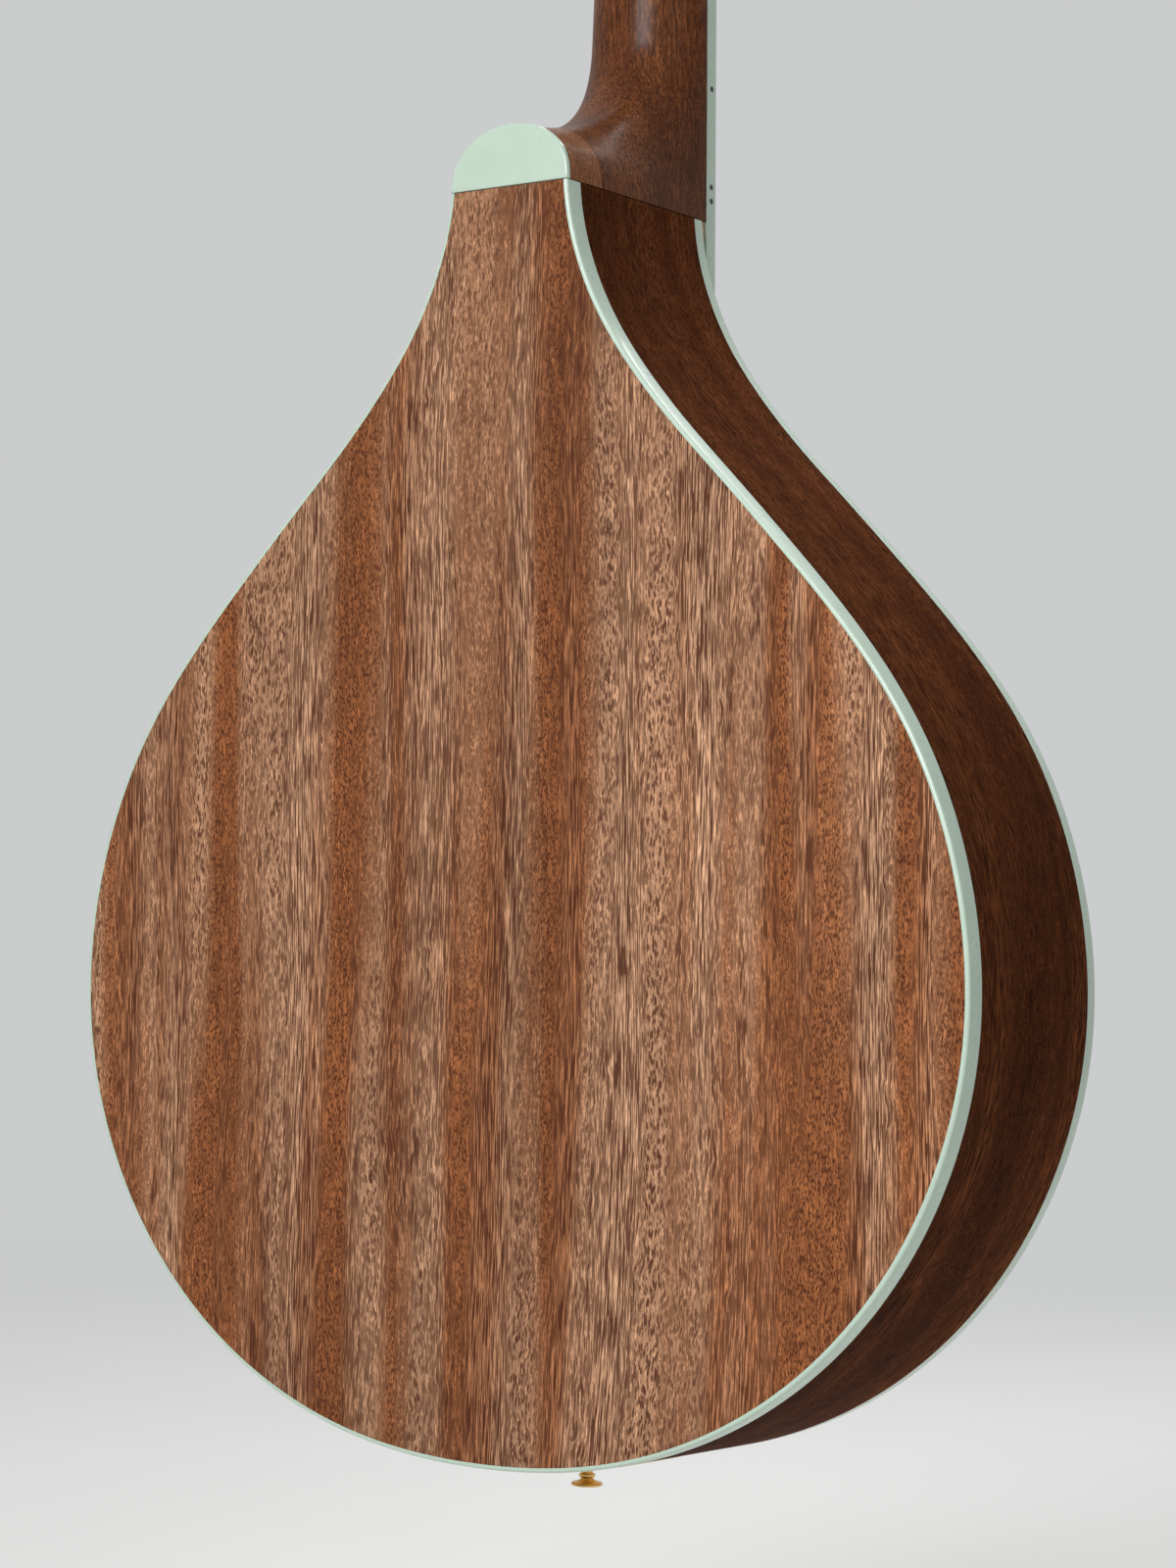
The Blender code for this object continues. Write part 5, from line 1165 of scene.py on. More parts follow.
@dataclass
class Fingerboard(Assembly):
    """Board, bindings, frets, markers, end wedge and nut."""

    def build(self) -> None:
        """Makes the fingerboard's pieces."""
        self.make_board()
        self.make_frets()
        self.make_markers()
        self.make_nut()

    def outline(self, inset: float, end_inset: float) -> list:
        """The board's outline moved in from its long edges and from its end."""
        end_z = FINGERBOARD_END_Z + end_inset
        wide, narrow = fingerboard_half_width(end_z) - inset, fingerboard_half_width(NUT_Z) - inset
        return [(-wide, end_z), (wide, end_z), (narrow, NUT_Z), (-narrow, NUT_Z)]

    def make_board(self) -> None:
        """The dark board, the strip round it and the wedge under its end."""
        inner = FINGERBOARD_BINDING + 0.00004
        bm = slab(self.outline(inner, inner), FINGERBOARD_FRONT_Y, NECK_FRONT_Y, 0.0, 0.0)
        self.add("board", bm, DARK_WOOD, ["fingerboard"], "dark_wood")
        outer = self.outline(0.0, 0.0)
        inside = self.outline(FINGERBOARD_BINDING, FINGERBOARD_BINDING)
        bm = bmesh.new()
        rounding = 0.0005
        rows = []
        for amount, y in (
            (0.0, NECK_FRONT_Y), (0.0, FINGERBOARD_FRONT_Y + rounding), (rounding * 0.3, FINGERBOARD_FRONT_Y + rounding * 0.3),
            (rounding, FINGERBOARD_FRONT_Y),
        ):
            path = self.outline(amount, amount)
            rows.append([bm.verts.new((x, y, z)) for x, z in (path[3], path[0], path[1], path[2])])
        for y in (FINGERBOARD_FRONT_Y, NECK_FRONT_Y):
            rows.append([bm.verts.new((x, y, z)) for x, z in (inside[3], inside[0], inside[1], inside[2])])
        for first, second in zip(rows, rows[1:] + rows[:1]):
            for k in range(3):
                bm.faces.new((first[k], first[k + 1], second[k + 1], second[k]))
        for k in (0, 3):
            bm.faces.new([row[k] for row in rows])
        self.add("board_binding", bm, BINDING, ["fingerboard_binding"], "binding")
        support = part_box("fingerboard_support")
        wide, narrow = fingerboard_half_width(support[0].z) - 0.0008, fingerboard_half_width(BODY_JOINT_Z) - 0.0008
        loop = [(-wide, support[0].z), (wide, support[0].z), (narrow, BODY_JOINT_Z), (-narrow, BODY_JOINT_Z)]
        bm = slab(loop, support[0].y, support[1].y, 0.0, 0.0)
        self.add("board_wedge", bm, PALE_WOOD, ["fingerboard_support"], "inner_wood")

    def make_frets(self) -> None:
        """A crowned wire for each fret, its ends filed to a slope."""
        for number in range(1, FRET_COUNT + 1):
            z = fret_z(number)
            half = fingerboard_half_width(z) - FINGERBOARD_BINDING - 0.0004
            rings = []
            for x, size in (
                (-half, 0.35), (-half + 0.0006, 0.85), (-half + 0.0012, 1.0), (half - 0.0012, 1.0),
                (half - 0.0006, 0.85), (half, 0.35),
            ):
                ring = [
                    (x, FINGERBOARD_FRONT_Y - FRET_HEIGHT * size * math.sin(a), z + FRET_WIDTH / 2 * math.cos(a))
                    for a in np.linspace(0, math.pi, 9)
                ]
                rings.append(ring + [(x, FINGERBOARD_FRONT_Y + 0.0004, z - FRET_WIDTH / 2),
                                     (x, FINGERBOARD_FRONT_Y + 0.0004, z + FRET_WIDTH / 2)])
            self.add(f"fret_{number}", skin(rings), NICKEL, ["fingerboard"], "steel")

    def marker_places(self, number: int) -> list:
        """Middles of a marked fret's dots along the neck."""
        middle = (fret_z(number - 1) + fret_z(number)) / 2
        return [middle - 0.00235, middle + 0.00235] if number == OCTAVE_FRET else [middle]

    def make_markers(self) -> None:
        """Pearl dots let into the board and small dark ones in the strip on the bass side."""
        for number in MARKED_FRETS:
            middle = (fret_z(number - 1) + fret_z(number)) / 2
            spots = (-0.008, 0.008) if number == OCTAVE_FRET else (0.0,)
            for k, x in enumerate(spots):
                bm = turned([(0.0, 0.0), (0.0025, 0.0), (0.0025, 0.0004), (0.0023, 0.00045), (0.0, 0.00045)], 28)
                turn = Matrix.Translation((x, FINGERBOARD_FRONT_Y + 0.0004, middle)) @ Matrix.Rotation(math.pi / 2, 4, "X")
                self.add(f"pearl_dot_{number}_{k + 1}", bm, PEARL, ["fingerboard"], "bone", matrix=turn)
            for k, z in enumerate(self.marker_places(number)):
                bm = turned([(0.0, 0.0), (0.0010, 0.0), (0.0010, 0.0005), (0.0009, 0.00054), (0.0, 0.00055)], 20)
                x = -fingerboard_half_width(z) + 0.0005
                y = (FINGERBOARD_FRONT_Y + NECK_FRONT_Y) / 2
                turn = Matrix.Translation((x, y, z)) @ Matrix.Rotation(-math.pi / 2, 4, "Y")
                self.add(f"side_dot_{number}_{k + 1}", bm, DOT_BLACK, ["fingerboard_binding"], "cover_plastic", matrix=turn)

    def make_nut(self) -> None:
        """The nut, its top sloping back, with a rounded groove for each string."""
        low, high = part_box("nut")
        places = course_places(COURSE_SPREAD_NUT, PAIR_SPACING_NUT)
        stations = {low.x, low.x + 0.0008, high.x - 0.0008, high.x}
        for index, x in enumerate(places):
            reach = STRING_DIAMETERS[index // 2] / 2 + 0.00012
            stations |= {x - reach * 1.3, x - reach, x, x + reach, x + reach * 1.3}
        rings = []
        for x in sorted(stations):
            index = min(range(8), key=lambda k: abs(places[k] - x))
            reach = STRING_DIAMETERS[index // 2] / 2 + 0.00012
            in_groove = abs(places[index] - x) < reach * 1.01
            ease = 0.0006 if x in (low.x, high.x) else 0.0
            front = low.y + ease if in_groove else low.y - 0.0005 + ease
            rings.append([
                (x, NECK_FRONT_Y, low.z), (x, front, low.z), (x, front - 0.00005, low.z + 0.0015),
                (x, front + NUT_SLOPE * 0.35, NUT_Z + NUT_LENGTH * 0.7),
                (x, front + NUT_SLOPE, NUT_Z + NUT_LENGTH), (x, NECK_FRONT_Y, NUT_Z + NUT_LENGTH),
            ])
        self.add("grooved_nut", skin(rings), BONE, ["nut"], "bone")


@dataclass
class Headstock(Assembly):
    """The tilted head with its face veneer, truss rod cover and post bushings."""

    def build(self) -> None:
        """Makes the headstock's pieces."""
        bores = [
            circle((side.value * POST_X, FIRST_POST_Z + k * POST_PITCH), POST_RADIUS + 0.0004)
            for side in Side for k in range(4)
        ]
        for name, y_front, y_back, start, finish, node, slot in (
            ("headstock", 0.0, HEADSTOCK_THICKNESS, 0.0, NECK_WOOD, "neck", "neck_wood"),
            ("face_veneer", -GAP * 0.2 - VENEER_THICKNESS, -GAP * 0.2, NUT_LENGTH + GAP, DARK_WOOD,
             "headstock_veneer", "dark_wood"),
        ):
            piece = flat_piece(
                name, [self.outline(start), *bores], y_front, y_back, self.materials.of(finish), 0.0004,
            )
            if name == "headstock":
                self.shape_root(piece.data)
            piece.data.transform(HEADSTOCK_PLACE)
            self.place(piece, [node], slot)
        self.make_cover()
        self.make_bushings()

    def shape_root(self, mesh: bpy.types.Mesh) -> None:
        """Narrows the back of the headstock's lower end, so that it runs out into the round neck."""
        for vertex in mesh.vertices:
            if vertex.co.z < 0.002 and vertex.co.y > HEADSTOCK_THICKNESS / 2:
                vertex.co.x *= ROOT_SHARE

    def outline(self, start: float) -> list:
        """The outline from the nut up: curved shoulders, straight sides and a low crown."""
        root, wide, top = NUT_WIDTH / 2, HEADSTOCK_HALF_WIDTH, HEADSTOCK_LENGTH
        points = [(root, start)]
        for t in np.linspace(0, 1, 20):
            points.append((
                root + (wide - root) * (1 - math.cos(math.pi * t)) / 2,
                SHOULDER_LOW + (SHOULDER_HIGH - SHOULDER_LOW) * t,
            ))
        points.append((wide, top - 0.018))
        for a in np.linspace(0, math.pi / 2, 12)[1:]:
            points.append((wide - 0.012 * (1 - math.cos(a)), top - 0.018 + 0.010 * math.sin(a)))
        flat = wide - 0.012
        points += [
            (float(x), top - 0.008 + 0.008 * math.cos(x / flat * math.pi / 2))
            for x in np.linspace(flat, 0, 14)[1:]
        ]
        return [*points, *[(-x, z) for x, z in reversed(points[:-1])]]

    def make_cover(self) -> None:
        """The black bell-shaped cover with its three screws."""
        w, start = COVER_HALF_WIDTH, NUT_LENGTH + 2 * GAP
        right = [(w, start), (w, start + 0.010)]
        for t in np.linspace(0, 1, 16)[1:-1]:
            right.append((w * (1 - t ** 1.6) + 0.002 * t, start + 0.010 + (COVER_LENGTH - 0.010) * t))
        loop = [(-w, start), *right, (0.0, start + COVER_LENGTH), *[(-x, z) for x, z in reversed(right[1:])]]
        front = -2 * GAP - VENEER_THICKNESS
        bm = slab(loop, front - COVER_THICKNESS, front, 0.0005, 0.0)
        self.add("cover", bm, BLACK, ["truss_rod_cover"], "cover_plastic", matrix=HEADSTOCK_PLACE)
        for k, (x, z) in enumerate(((-w * 0.7, start + 0.003), (w * 0.7, start + 0.003), (0.0, start + 0.024))):
            place = HEADSTOCK_PLACE @ Matrix.Translation((x, front - COVER_THICKNESS, z)) @ Matrix.Rotation(
                math.pi / 2, 4, "X")
            self.add(f"cover_screw_{k + 1}", screw_head(0.0014), NICKEL, (), "steel", matrix=place)

    def make_bushings(self) -> None:
        """A pressed ring round each post on the headstock's face."""
        for side in Side:
            for k in range(4):
                inner, outer, rise = POST_RADIUS + 0.00025, POST_RADIUS + 0.0018, 0.0009
                profile = [(inner, 0.0), (outer, 0.0), (outer, rise * 0.4), (outer - 0.0003, rise * 0.75)]
                profile += [(inner + 0.0004, rise), (inner, rise * 0.8), (inner, 0.0)]
                bm = bmesh.new()
                rings = [
                    [bm.verts.new((r * math.cos(a), r * math.sin(a), h)) for r, h in profile[:-1]]
                    for a in np.linspace(0, 2 * math.pi, 32, endpoint=False)
                ]
                for first, second in zip(rings, rings[1:] + rings[:1]):
                    for j in range(len(first)):
                        m = (j + 1) % len(first)
                        bm.faces.new((first[j], first[m], second[m], second[j]))
                z = FIRST_POST_Z + k * POST_PITCH
                place = HEADSTOCK_PLACE @ Matrix.Translation((side.value * POST_X, -VENEER_THICKNESS, z))
                place = place @ Matrix.Rotation(math.pi / 2, 4, "X")
                self.add(f"post_bushing_{side.label}_{k + 1}", bm, GOLD, (), "gold_metal", matrix=place)


@dataclass
class TuningMachines(Assembly):
    """Plates, knobs with worms and buttons, and posts with gears."""

    def build(self) -> None:
        """Makes the machines of both sides."""
        for side in Side:
            self.make_plate(side)
            for k in range(4):
                number = k + 1 if side is Side.BASS else k + 5
                self.make_knob(side, k, number)
                self.make_post(side, k, number)

    def make_plate(self, side: Side) -> None:
        """A strip with rounded corners, four pairs of ears and its screws."""
        node = f"tuner_plate_{side.label}"
        low_z = FIRST_POST_Z - PLATE_MARGIN
        high_z = FIRST_POST_Z + 3 * POST_PITCH + PLATE_MARGIN + WORM_OFFSET
        seat = HEADSTOCK_THICKNESS + GAP
        low_x, high_x = sorted((side.value * PLATE_INNER_X, side.value * PLATE_OUTER_X))
        loop, radius = [], 0.0035
        for x, z, turn in (
            (high_x - radius, low_z + radius, -0.5), (high_x - radius, high_z - radius, 0.0),
            (low_x + radius, high_z - radius, 0.5), (low_x + radius, low_z + radius, 1.0),
        ):
            for a in np.linspace(0, math.pi / 2, 8):
                loop.append((x + radius * math.cos(a + turn * math.pi), z + radius * math.sin(a + turn * math.pi)))
        bm = slab(loop, seat, seat + PLATE_METAL, 0.0, 0.0003)
        self.add(f"machine_plate_{side.label}", bm, GOLD, [node], "gold_metal", matrix=HEADSTOCK_PLACE)
        for k in range(4):
            z = FIRST_POST_Z + k * POST_PITCH + WORM_OFFSET
            for label, ear_x in (("inner", EAR_INNER_X), ("outer", EAR_OUTER_X)):
                x = side.value * ear_x
                bm = rounded_box(
                    (x - EAR_THICKNESS / 2, seat + PLATE_METAL / 2, z - EAR_WIDTH / 2),
                    (x + EAR_THICKNESS / 2, GEAR_MIDDLE_Y + EAR_RISE, z + EAR_WIDTH / 2), 0.0003,
                )
                name = f"ear_{side.label}_{k + 1}_{label}"
                self.add(name, bm, GOLD, [node], "gold_metal", matrix=HEADSTOCK_PLACE)
        middle_x = side.value * (PLATE_INNER_X + PLATE_OUTER_X) / 2
        for k in range(5):
            z = low_z + 0.0035 if k == 0 else FIRST_POST_Z + (k - 1) * POST_PITCH + WORM_OFFSET + 0.0075
            place = HEADSTOCK_PLACE @ Matrix.Translation((middle_x, seat + PLATE_METAL, min(z, high_z - 0.0035)))
            place = place @ Matrix.Rotation(-math.pi / 2, 4, "X")
            self.add(f"plate_screw_{side.label}_{k + 1}", screw_head(0.0017), GOLD, [node], "gold_metal", matrix=place)

    def make_knob(self, side: Side, k: int, number: int) -> None:
        """A shaft with its worm and the oval button on its end."""
        body, node = f"knob_{number}", f"tuner_knob_{number}"
        z = FIRST_POST_Z + k * POST_PITCH + WORM_OFFSET
        turn = Matrix.Rotation(math.pi if side is Side.BASS else 0.0, 4, "Z")
        place = HEADSTOCK_PLACE @ Matrix.Translation((side.value * POST_X, GEAR_MIDDLE_Y, z)) @ turn
        root = WORM_PITCH_RADIUS - 1.25 * GEAR_MODULE
        reach, inner_end = WORM_PITCH * 1.9, EAR_INNER_X - POST_X - 0.0012
        outer_end = BUTTON_START_X - POST_X
        profile = [
            (0.0, inner_end), (SHAFT_RADIUS * 0.8, inner_end), (SHAFT_RADIUS, inner_end + 0.0003),
            (SHAFT_RADIUS, -reach), (root, -reach), (root, reach), (SHAFT_RADIUS, reach),
            (SHAFT_RADIUS, outer_end - 0.0030), (0.0021, outer_end - 0.0028), (0.0024, outer_end - 0.0016),
            (0.0019, outer_end - 0.0006), (0.0019, outer_end + 0.0012), (0.0, outer_end + 0.0012),
        ]
        along_x = Matrix.Rotation(math.pi / 2, 4, "Y")
        self.add(f"shaft_{number}", turned(profile, 24), GOLD, [node], "gold_metal", body, place @ along_x)
        self.add(f"worm_{number}", self.thread(), GOLD, [node], "gold_metal", body, place, sharp=30.0)
        rings = []
        for share in np.linspace(0, 1, 15):
            swell = 0.42 + 0.58 * math.sin(math.pi * min(1.0, 0.06 + share * 0.80)) ** 1.3
            edge = math.sqrt(max(0.02, 1 - max(0.0, (share - 0.86) / 0.14) ** 2))
            x = outer_end + BUTTON_LENGTH * share
            half = BUTTON_HALF_THICKNESS * (0.55 + 0.45 * swell) * edge
            rings.append([
                (x, half * math.copysign(abs(math.sin(a)) ** 0.8, math.sin(a)),
                 BUTTON_HALF_WIDTH * swell * edge * math.cos(a))
                for a in np.linspace(0, 2 * math.pi, 28, endpoint=False)
            ])
        self.add(f"button_{number}", skin(rings), BONE, [node], "bone", body, place, sharp=60.0)

    def thread(self) -> bmesh.types.BMesh:
        """The worm's thread as a trapezoid wound along X, its crest facing -Z in the middle."""
        root = WORM_PITCH_RADIUS - 1.25 * GEAR_MODULE - 0.0002
        tip = WORM_PITCH_RADIUS + 0.9 * GEAR_MODULE
        root_half = (WORM_PITCH * 0.66 - GEAR_BACKLASH) / 2
        tip_half = (WORM_PITCH * 0.26 - GEAR_BACKLASH / 2) / 2
        rings = []
        steps = 24 * WORM_TURNS
        for k in range(steps + 1):
            turn = 2 * math.pi * WORM_TURNS * k / steps
            x = -WORM_PITCH * WORM_TURNS / 2 + WORM_PITCH * WORM_TURNS * k / steps
            way = Vector((0, math.sin(turn), -math.cos(turn)))
            taper = min(1.0, (k + 1) / 6, (steps - k + 1) / 6)
            far = root + (tip - root) * taper
            rings.append([
                Vector((x + shift, 0, 0)) + way * radius
                for shift, radius in ((-root_half, root), (-tip_half, far), (tip_half, far), (root_half, root))
            ])
        return skin(rings)

    def make_post(self, side: Side, k: int, number: int) -> None:
        """The waisted string post and the gear on its back end."""
        body, node = f"post_{number}", f"tuner_post_{number}"
        place = HEADSTOCK_PLACE @ Matrix.Translation((side.value * POST_X, 0, FIRST_POST_Z + k * POST_PITCH))
        upright = place @ Matrix.Rotation(math.pi / 2, 4, "X")
        front = VENEER_THICKNESS + GAP + POST_RISE
        back = -(GEAR_MIDDLE_Y - GEAR_THICKNESS / 2 + 0.0004)
        waist_top = front - POST_HEAD
        waist_low = waist_top - POST_WAIST_LENGTH
        r, waist = POST_RADIUS, POST_WAIST_RADIUS
        profile = [(0.0, front - 0.0004), (r * 0.45, front - 0.0004), (r * 0.52, front), (r * 0.78, front)]
        profile += [(r * 0.94, front - 0.0003), (r, front - 0.0009), (r, waist_top + 0.0010)]
        profile += [(waist + (r - waist) * (1 - math.sin(a)), waist_top + 0.0010 * (1 - math.sin(a)))
                    for a in np.linspace(0.2, math.pi / 2, 5)]
        profile += [(waist, waist_low), (r, waist_low - 0.0008), (r, back), (0.0, back)]
        self.add(f"string_post_{number}", turned(profile, 32), GOLD, [node], "gold_metal", body, upright)
        wheel = place @ Matrix.Translation((0, GEAR_MIDDLE_Y, 0))
        self.add(f"gear_{number}", self.gear(), GOLD, [node], "gold_metal", body, wheel, sharp=30.0)
        cap = place @ Matrix.Translation((0, GEAR_MIDDLE_Y + GEAR_THICKNESS / 2, 0)) @ Matrix.Rotation(
            -math.pi / 2, 4, "X")
        self.add(f"gear_screw_{number}", screw_head(0.0021), GOLD, [node], "gold_metal", body, cap)

    def gear(self) -> bmesh.types.BMesh:
        """A worm wheel on the Y axis, its teeth slanted to the worm's lead and eased at both faces."""
        outer = GEAR_PITCH_RADIUS + GEAR_MODULE - 0.0001
        root = GEAR_PITCH_RADIUS - 1.3 * GEAR_MODULE
        root_half = (WORM_PITCH * 0.66 - GEAR_BACKLASH / 2) / 2 / root
        tip_half = (WORM_PITCH * 0.30 - GEAR_BACKLASH / 2) / 2 / outer
        twist = GEAR_THICKNESS / 2 * WORM_PITCH / (2 * math.pi * WORM_PITCH_RADIUS) / GEAR_PITCH_RADIUS
        rings = []
        for side, ease in ((-1.0, 0.00025), (-0.88, 0.0), (0.0, 0.0), (0.88, 0.0), (1.0, 0.00025)):
            ring = []
            for tooth in range(GEAR_TEETH):
                middle = (tooth + 0.5) * 2 * math.pi / GEAR_TEETH + side * twist
                for radius, turn in (
                    (root, -root_half), (outer - ease, -tip_half), (outer - ease, tip_half), (root, root_half),
                ):
                    angle = middle + turn
                    ring.append((radius * math.sin(angle), side * GEAR_THICKNESS / 2, radius * math.cos(angle)))
            rings.append(ring)
        return skin(rings)


@dataclass
class Strings(Assembly):
    """Four pairs of strings, each looped on its hook and wound on its post."""

    def build(self) -> None:
        """Makes the eight strings."""
        at_nut = course_places(COURSE_SPREAD_NUT, PAIR_SPACING_NUT)
        at_bridge = course_places(COURSE_SPREAD_BRIDGE, PAIR_SPACING_BRIDGE)
        at_tail = course_places(COURSE_SPREAD_BRIDGE * TAIL_SPREAD_SHARE, PAIR_SPACING_BRIDGE)
        to_local = HEADSTOCK_PLACE.inverted()
        for side in Side:
            for k in range(4):
                index = k if side is Side.BASS else 7 - k
                diameter = STRING_DIAMETERS[index // 2]
                finish = BRONZE if index // 2 < WOUND_COURSES else STEEL
                nut_point = Vector((at_nut[index], NUT_STRING_Y, NUT_Z + NUT_LENGTH * 0.5))
                centre = (side.value * POST_X, FIRST_POST_Z + k * POST_PITCH)
                turns = self.winding(to_local @ nut_point, centre, diameter, side)
                route = [
                    *self.loop(at_tail[index], diameter), Vector((at_bridge[index], SADDLE_STRING_Y, BRIDGE_Z)),
                    Vector((at_nut[index], NUT_STRING_Y, NUT_Z + GAP)), nut_point,
                    *[HEADSTOCK_PLACE @ point for point in turns],
                ]
                number = index + 1
                self.add(f"wire_{number}", tube(route, diameter / 2), finish, [f"string_{number}"], "string_steel")
                start, way = route[-len(turns) - 4], route[-len(turns) - 3] - route[-len(turns) - 4]
                self.add(
                    f"wire_twist_{number}", self.twist(start, way, diameter), STEEL, [f"string_{number}"],
                    "string_steel",
                )

    def loop(self, x: float, diameter: float) -> list:
        """The loop's points round its hook, ending where the string leaves it."""
        radius = HOOK_RADIUS + GAP / 2 + diameter / 2
        middle = HOOK_Z - HOOK_RADIUS - GAP
        return [
            Vector((x + radius * math.sin(a), TAIL_STRING_Y, middle + radius * math.cos(a)))
            for a in np.linspace(0.5, 2 * math.pi, 16)
        ]

    def twist(self, start: Vector, way: Vector, diameter: float) -> bmesh.types.BMesh:
        """The string's own end wrapped round it beside the loop."""
        way = way.normalized()
        across = way.orthogonal().normalized()
        other = way.cross(across)
        wrap = 0.00022
        radius = diameter / 2 + wrap * 0.9
        path = [
            start + way * (0.0012 + 0.011 * k / 240) + (across * math.cos(k * 0.5) + other * math.sin(k * 0.5)) * radius
            for k in range(241)
        ]
        return tube(path, wrap, 6)

    def winding(self, start: Vector, centre: tuple, diameter: float, side: Side) -> list:
        """The turns round a post in the headstock's frame, from the touching point to the end."""
        radius = POST_WAIST_RADIUS + GAP + diameter / 2
        pitch = diameter + WINDING_GAP
        dx, dz = start.x - centre[0], start.z - centre[1]
        middle = math.atan2(dz, dx)
        spread = math.acos(radius / math.hypot(dx, dz))
        first = min((middle - spread, middle + spread), key=lambda angle: side.value * math.cos(angle))
        waist_low_y = -(VENEER_THICKNESS + GAP + POST_RISE - POST_HEAD - POST_WAIST_LENGTH)
        low_y = waist_low_y - WINDING_GAP - diameter / 2 - pitch * WINDING_TURNS
        route = []
        for k in range(int(36 * WINDING_TURNS) + 1):
            angle = first + side.value * 2 * math.pi * k / 36
            x, z = centre[0] + radius * math.cos(angle), centre[1] + radius * math.sin(angle)
            route.append(Vector((x, low_y + pitch * k / 36, z)))
        return route


@dataclass
class Fittings(Assembly):
    """Bridge, saddle, tailpiece and strap button."""

    def build(self) -> None:
        """Makes the fittings on the soundboard and at the tail."""
        self.make_bridge()
        self.make_saddle()
        self.make_tailpiece()
        self.make_strap_button()

    def make_bridge(self) -> None:
        """The floating bridge: two feet, an arch between them and a long sloped back."""
        top = SOUNDBOARD_Y - GAP * 0.3
        length, inner = BRIDGE_HALF_LENGTH, BRIDGE_HALF_LENGTH - BRIDGE_FOOT
        shoulder = SADDLE_HALF_LENGTH + 0.004
        upper, lower = [], []
        for x in np.linspace(0, length, 30):
            if x <= shoulder:
                rise = BRIDGE_HEIGHT
            else:
                t = (x - shoulder) / (length - shoulder)
                rise = BRIDGE_END_HEIGHT + (BRIDGE_HEIGHT - BRIDGE_END_HEIGHT) * (1 - t) ** 1.15
            upper.append((float(x), top - rise))
            arch = min(1.0, max(0.0, (inner - x) / 0.006))
            lower.append((float(x), top - BRIDGE_ARCH * arch * arch * (3 - 2 * arch)))
        profile = [*[(-x, y) for x, y in reversed(upper)], *upper[1:]]
        profile += [*reversed(lower), *[(-x, y) for x, y in lower[1:]]]
        half, ease = BRIDGE_THICKNESS / 2, 0.0008
        rings = []
        for z, drop in ((-half, ease), (-half + ease * 0.3, ease * 0.3), (-half + ease, 0.0), (half - ease, 0.0),
                        (half - ease * 0.3, ease * 0.3), (half, ease)):
            rings.append([
                (x * (1 - drop / length), y + (drop if k < 2 * len(upper) - 1 else 0.0), BRIDGE_Z + z)
                for k, (x, y) in enumerate(profile)
            ])
        self.add("carved_bridge", skin(rings), DARK_WOOD, ["bridge"], "dark_wood", sharp=50.0)

    def make_saddle(self) -> None:
        """The saddle, its crown leaning a little from course to course."""
        low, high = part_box("saddle")
        rings = []
        for x in np.linspace(low.x, high.x, 33):
            lean = 0.0005 * math.cos((x - low.x) / (high.x - low.x) * 4 * math.pi)
            end = max(0.0, abs(x) - (high.x - 0.0015)) / 0.0015
            front = low.y + 0.0010 * end ** 2
            rings.append([
                (x, high.y, low.z), (x, front + 0.0012, low.z), (x, front + 0.0002, BRIDGE_Z + lean - 0.0006),
                (x, front, BRIDGE_Z + lean), (x, front + 0.0002, BRIDGE_Z + lean + 0.0006),
                (x, front + 0.0012, high.z), (x, high.y, high.z),
            ])
        self.add("crowned_saddle", skin(rings), BONE, ["saddle"], "bone")

    def make_tailpiece(self) -> None:
        """A folded plate with eight hooks and three screws on its end."""
        w, t, rise = TAILPIECE_HALF_WIDTH, TAILPIECE_METAL, TAIL_PLATE_Y
        end = TAIL_Z - GAP
        depth = SOUNDBOARD_Y + TAILPIECE_END_DEPTH
        tip = TAIL_Z + TAILPIECE_LENGTH
        outside = [(rise, tip)]
        outside += [
            (rise + 0.0025 * (1 - math.cos(a)), end - t + 0.0025 * (1 - math.sin(a)))
            for a in np.linspace(0, math.pi / 2, 8)
        ]
        outside = [(rise, tip), *[
            (rise + 0.0025 * (1 - math.cos(a)), end - t + 0.0025 * (1 - math.sin(a)))
            for a in np.linspace(0, math.pi / 2, 8)
        ], (depth, end - t)]
        inside = [(depth, end), (SOUNDBOARD_Y - 0.001, end), (rise + t, TAIL_Z + 0.004), (rise + t, tip)]
        rings = []
        for x, ease in ((-w, 0.0004), (-w + 0.0004, 0.0), (w - 0.0004, 0.0), (w, 0.0004)):
            rings.append([
                (x, y + (ease if z > end + 0.004 else 0.0), z + (0.0 if z > end + 0.004 else ease * 0.5))
                for y, z in outside
            ] + [(x, y, z) for y, z in inside])
        self.add("tail_plate", skin(rings), GOLD, ["tailpiece"], "gold_metal")
        places = course_places(COURSE_SPREAD_BRIDGE * TAIL_SPREAD_SHARE, PAIR_SPACING_BRIDGE)
        for number, x in enumerate(places):
            r, height = HOOK_RADIUS, HOOK_HEIGHT
            profile = [(0.0, -0.0003), (r, -0.0003), (r, 0.0), (r * 0.85, 0.0006), (r * 0.85, height - 0.0011)]
            profile += [(r, height - 0.0007), (r * 0.9, height - 0.0002), (r * 0.5, height), (0.0, height)]
            place = Matrix.Translation((x, rise, HOOK_Z - r - GAP)) @ Matrix.Rotation(math.pi / 2, 4, "X")
            self.add(f"loop_hook_{number + 1}", turned(profile, 20), GOLD, ["tailpiece"], "gold_metal", matrix=place)
        for k, (x, y) in enumerate(((-0.016, 0.008), (0.016, 0.008), (0.0, 0.004))):
            place = Matrix.Translation((x, SOUNDBOARD_Y + y, end - t)) @ Matrix.Rotation(math.pi, 4, "X")
            self.add(f"tail_screw_{k + 1}", screw_head(0.0022), GOLD, ["tailpiece"], "gold_metal", matrix=place)

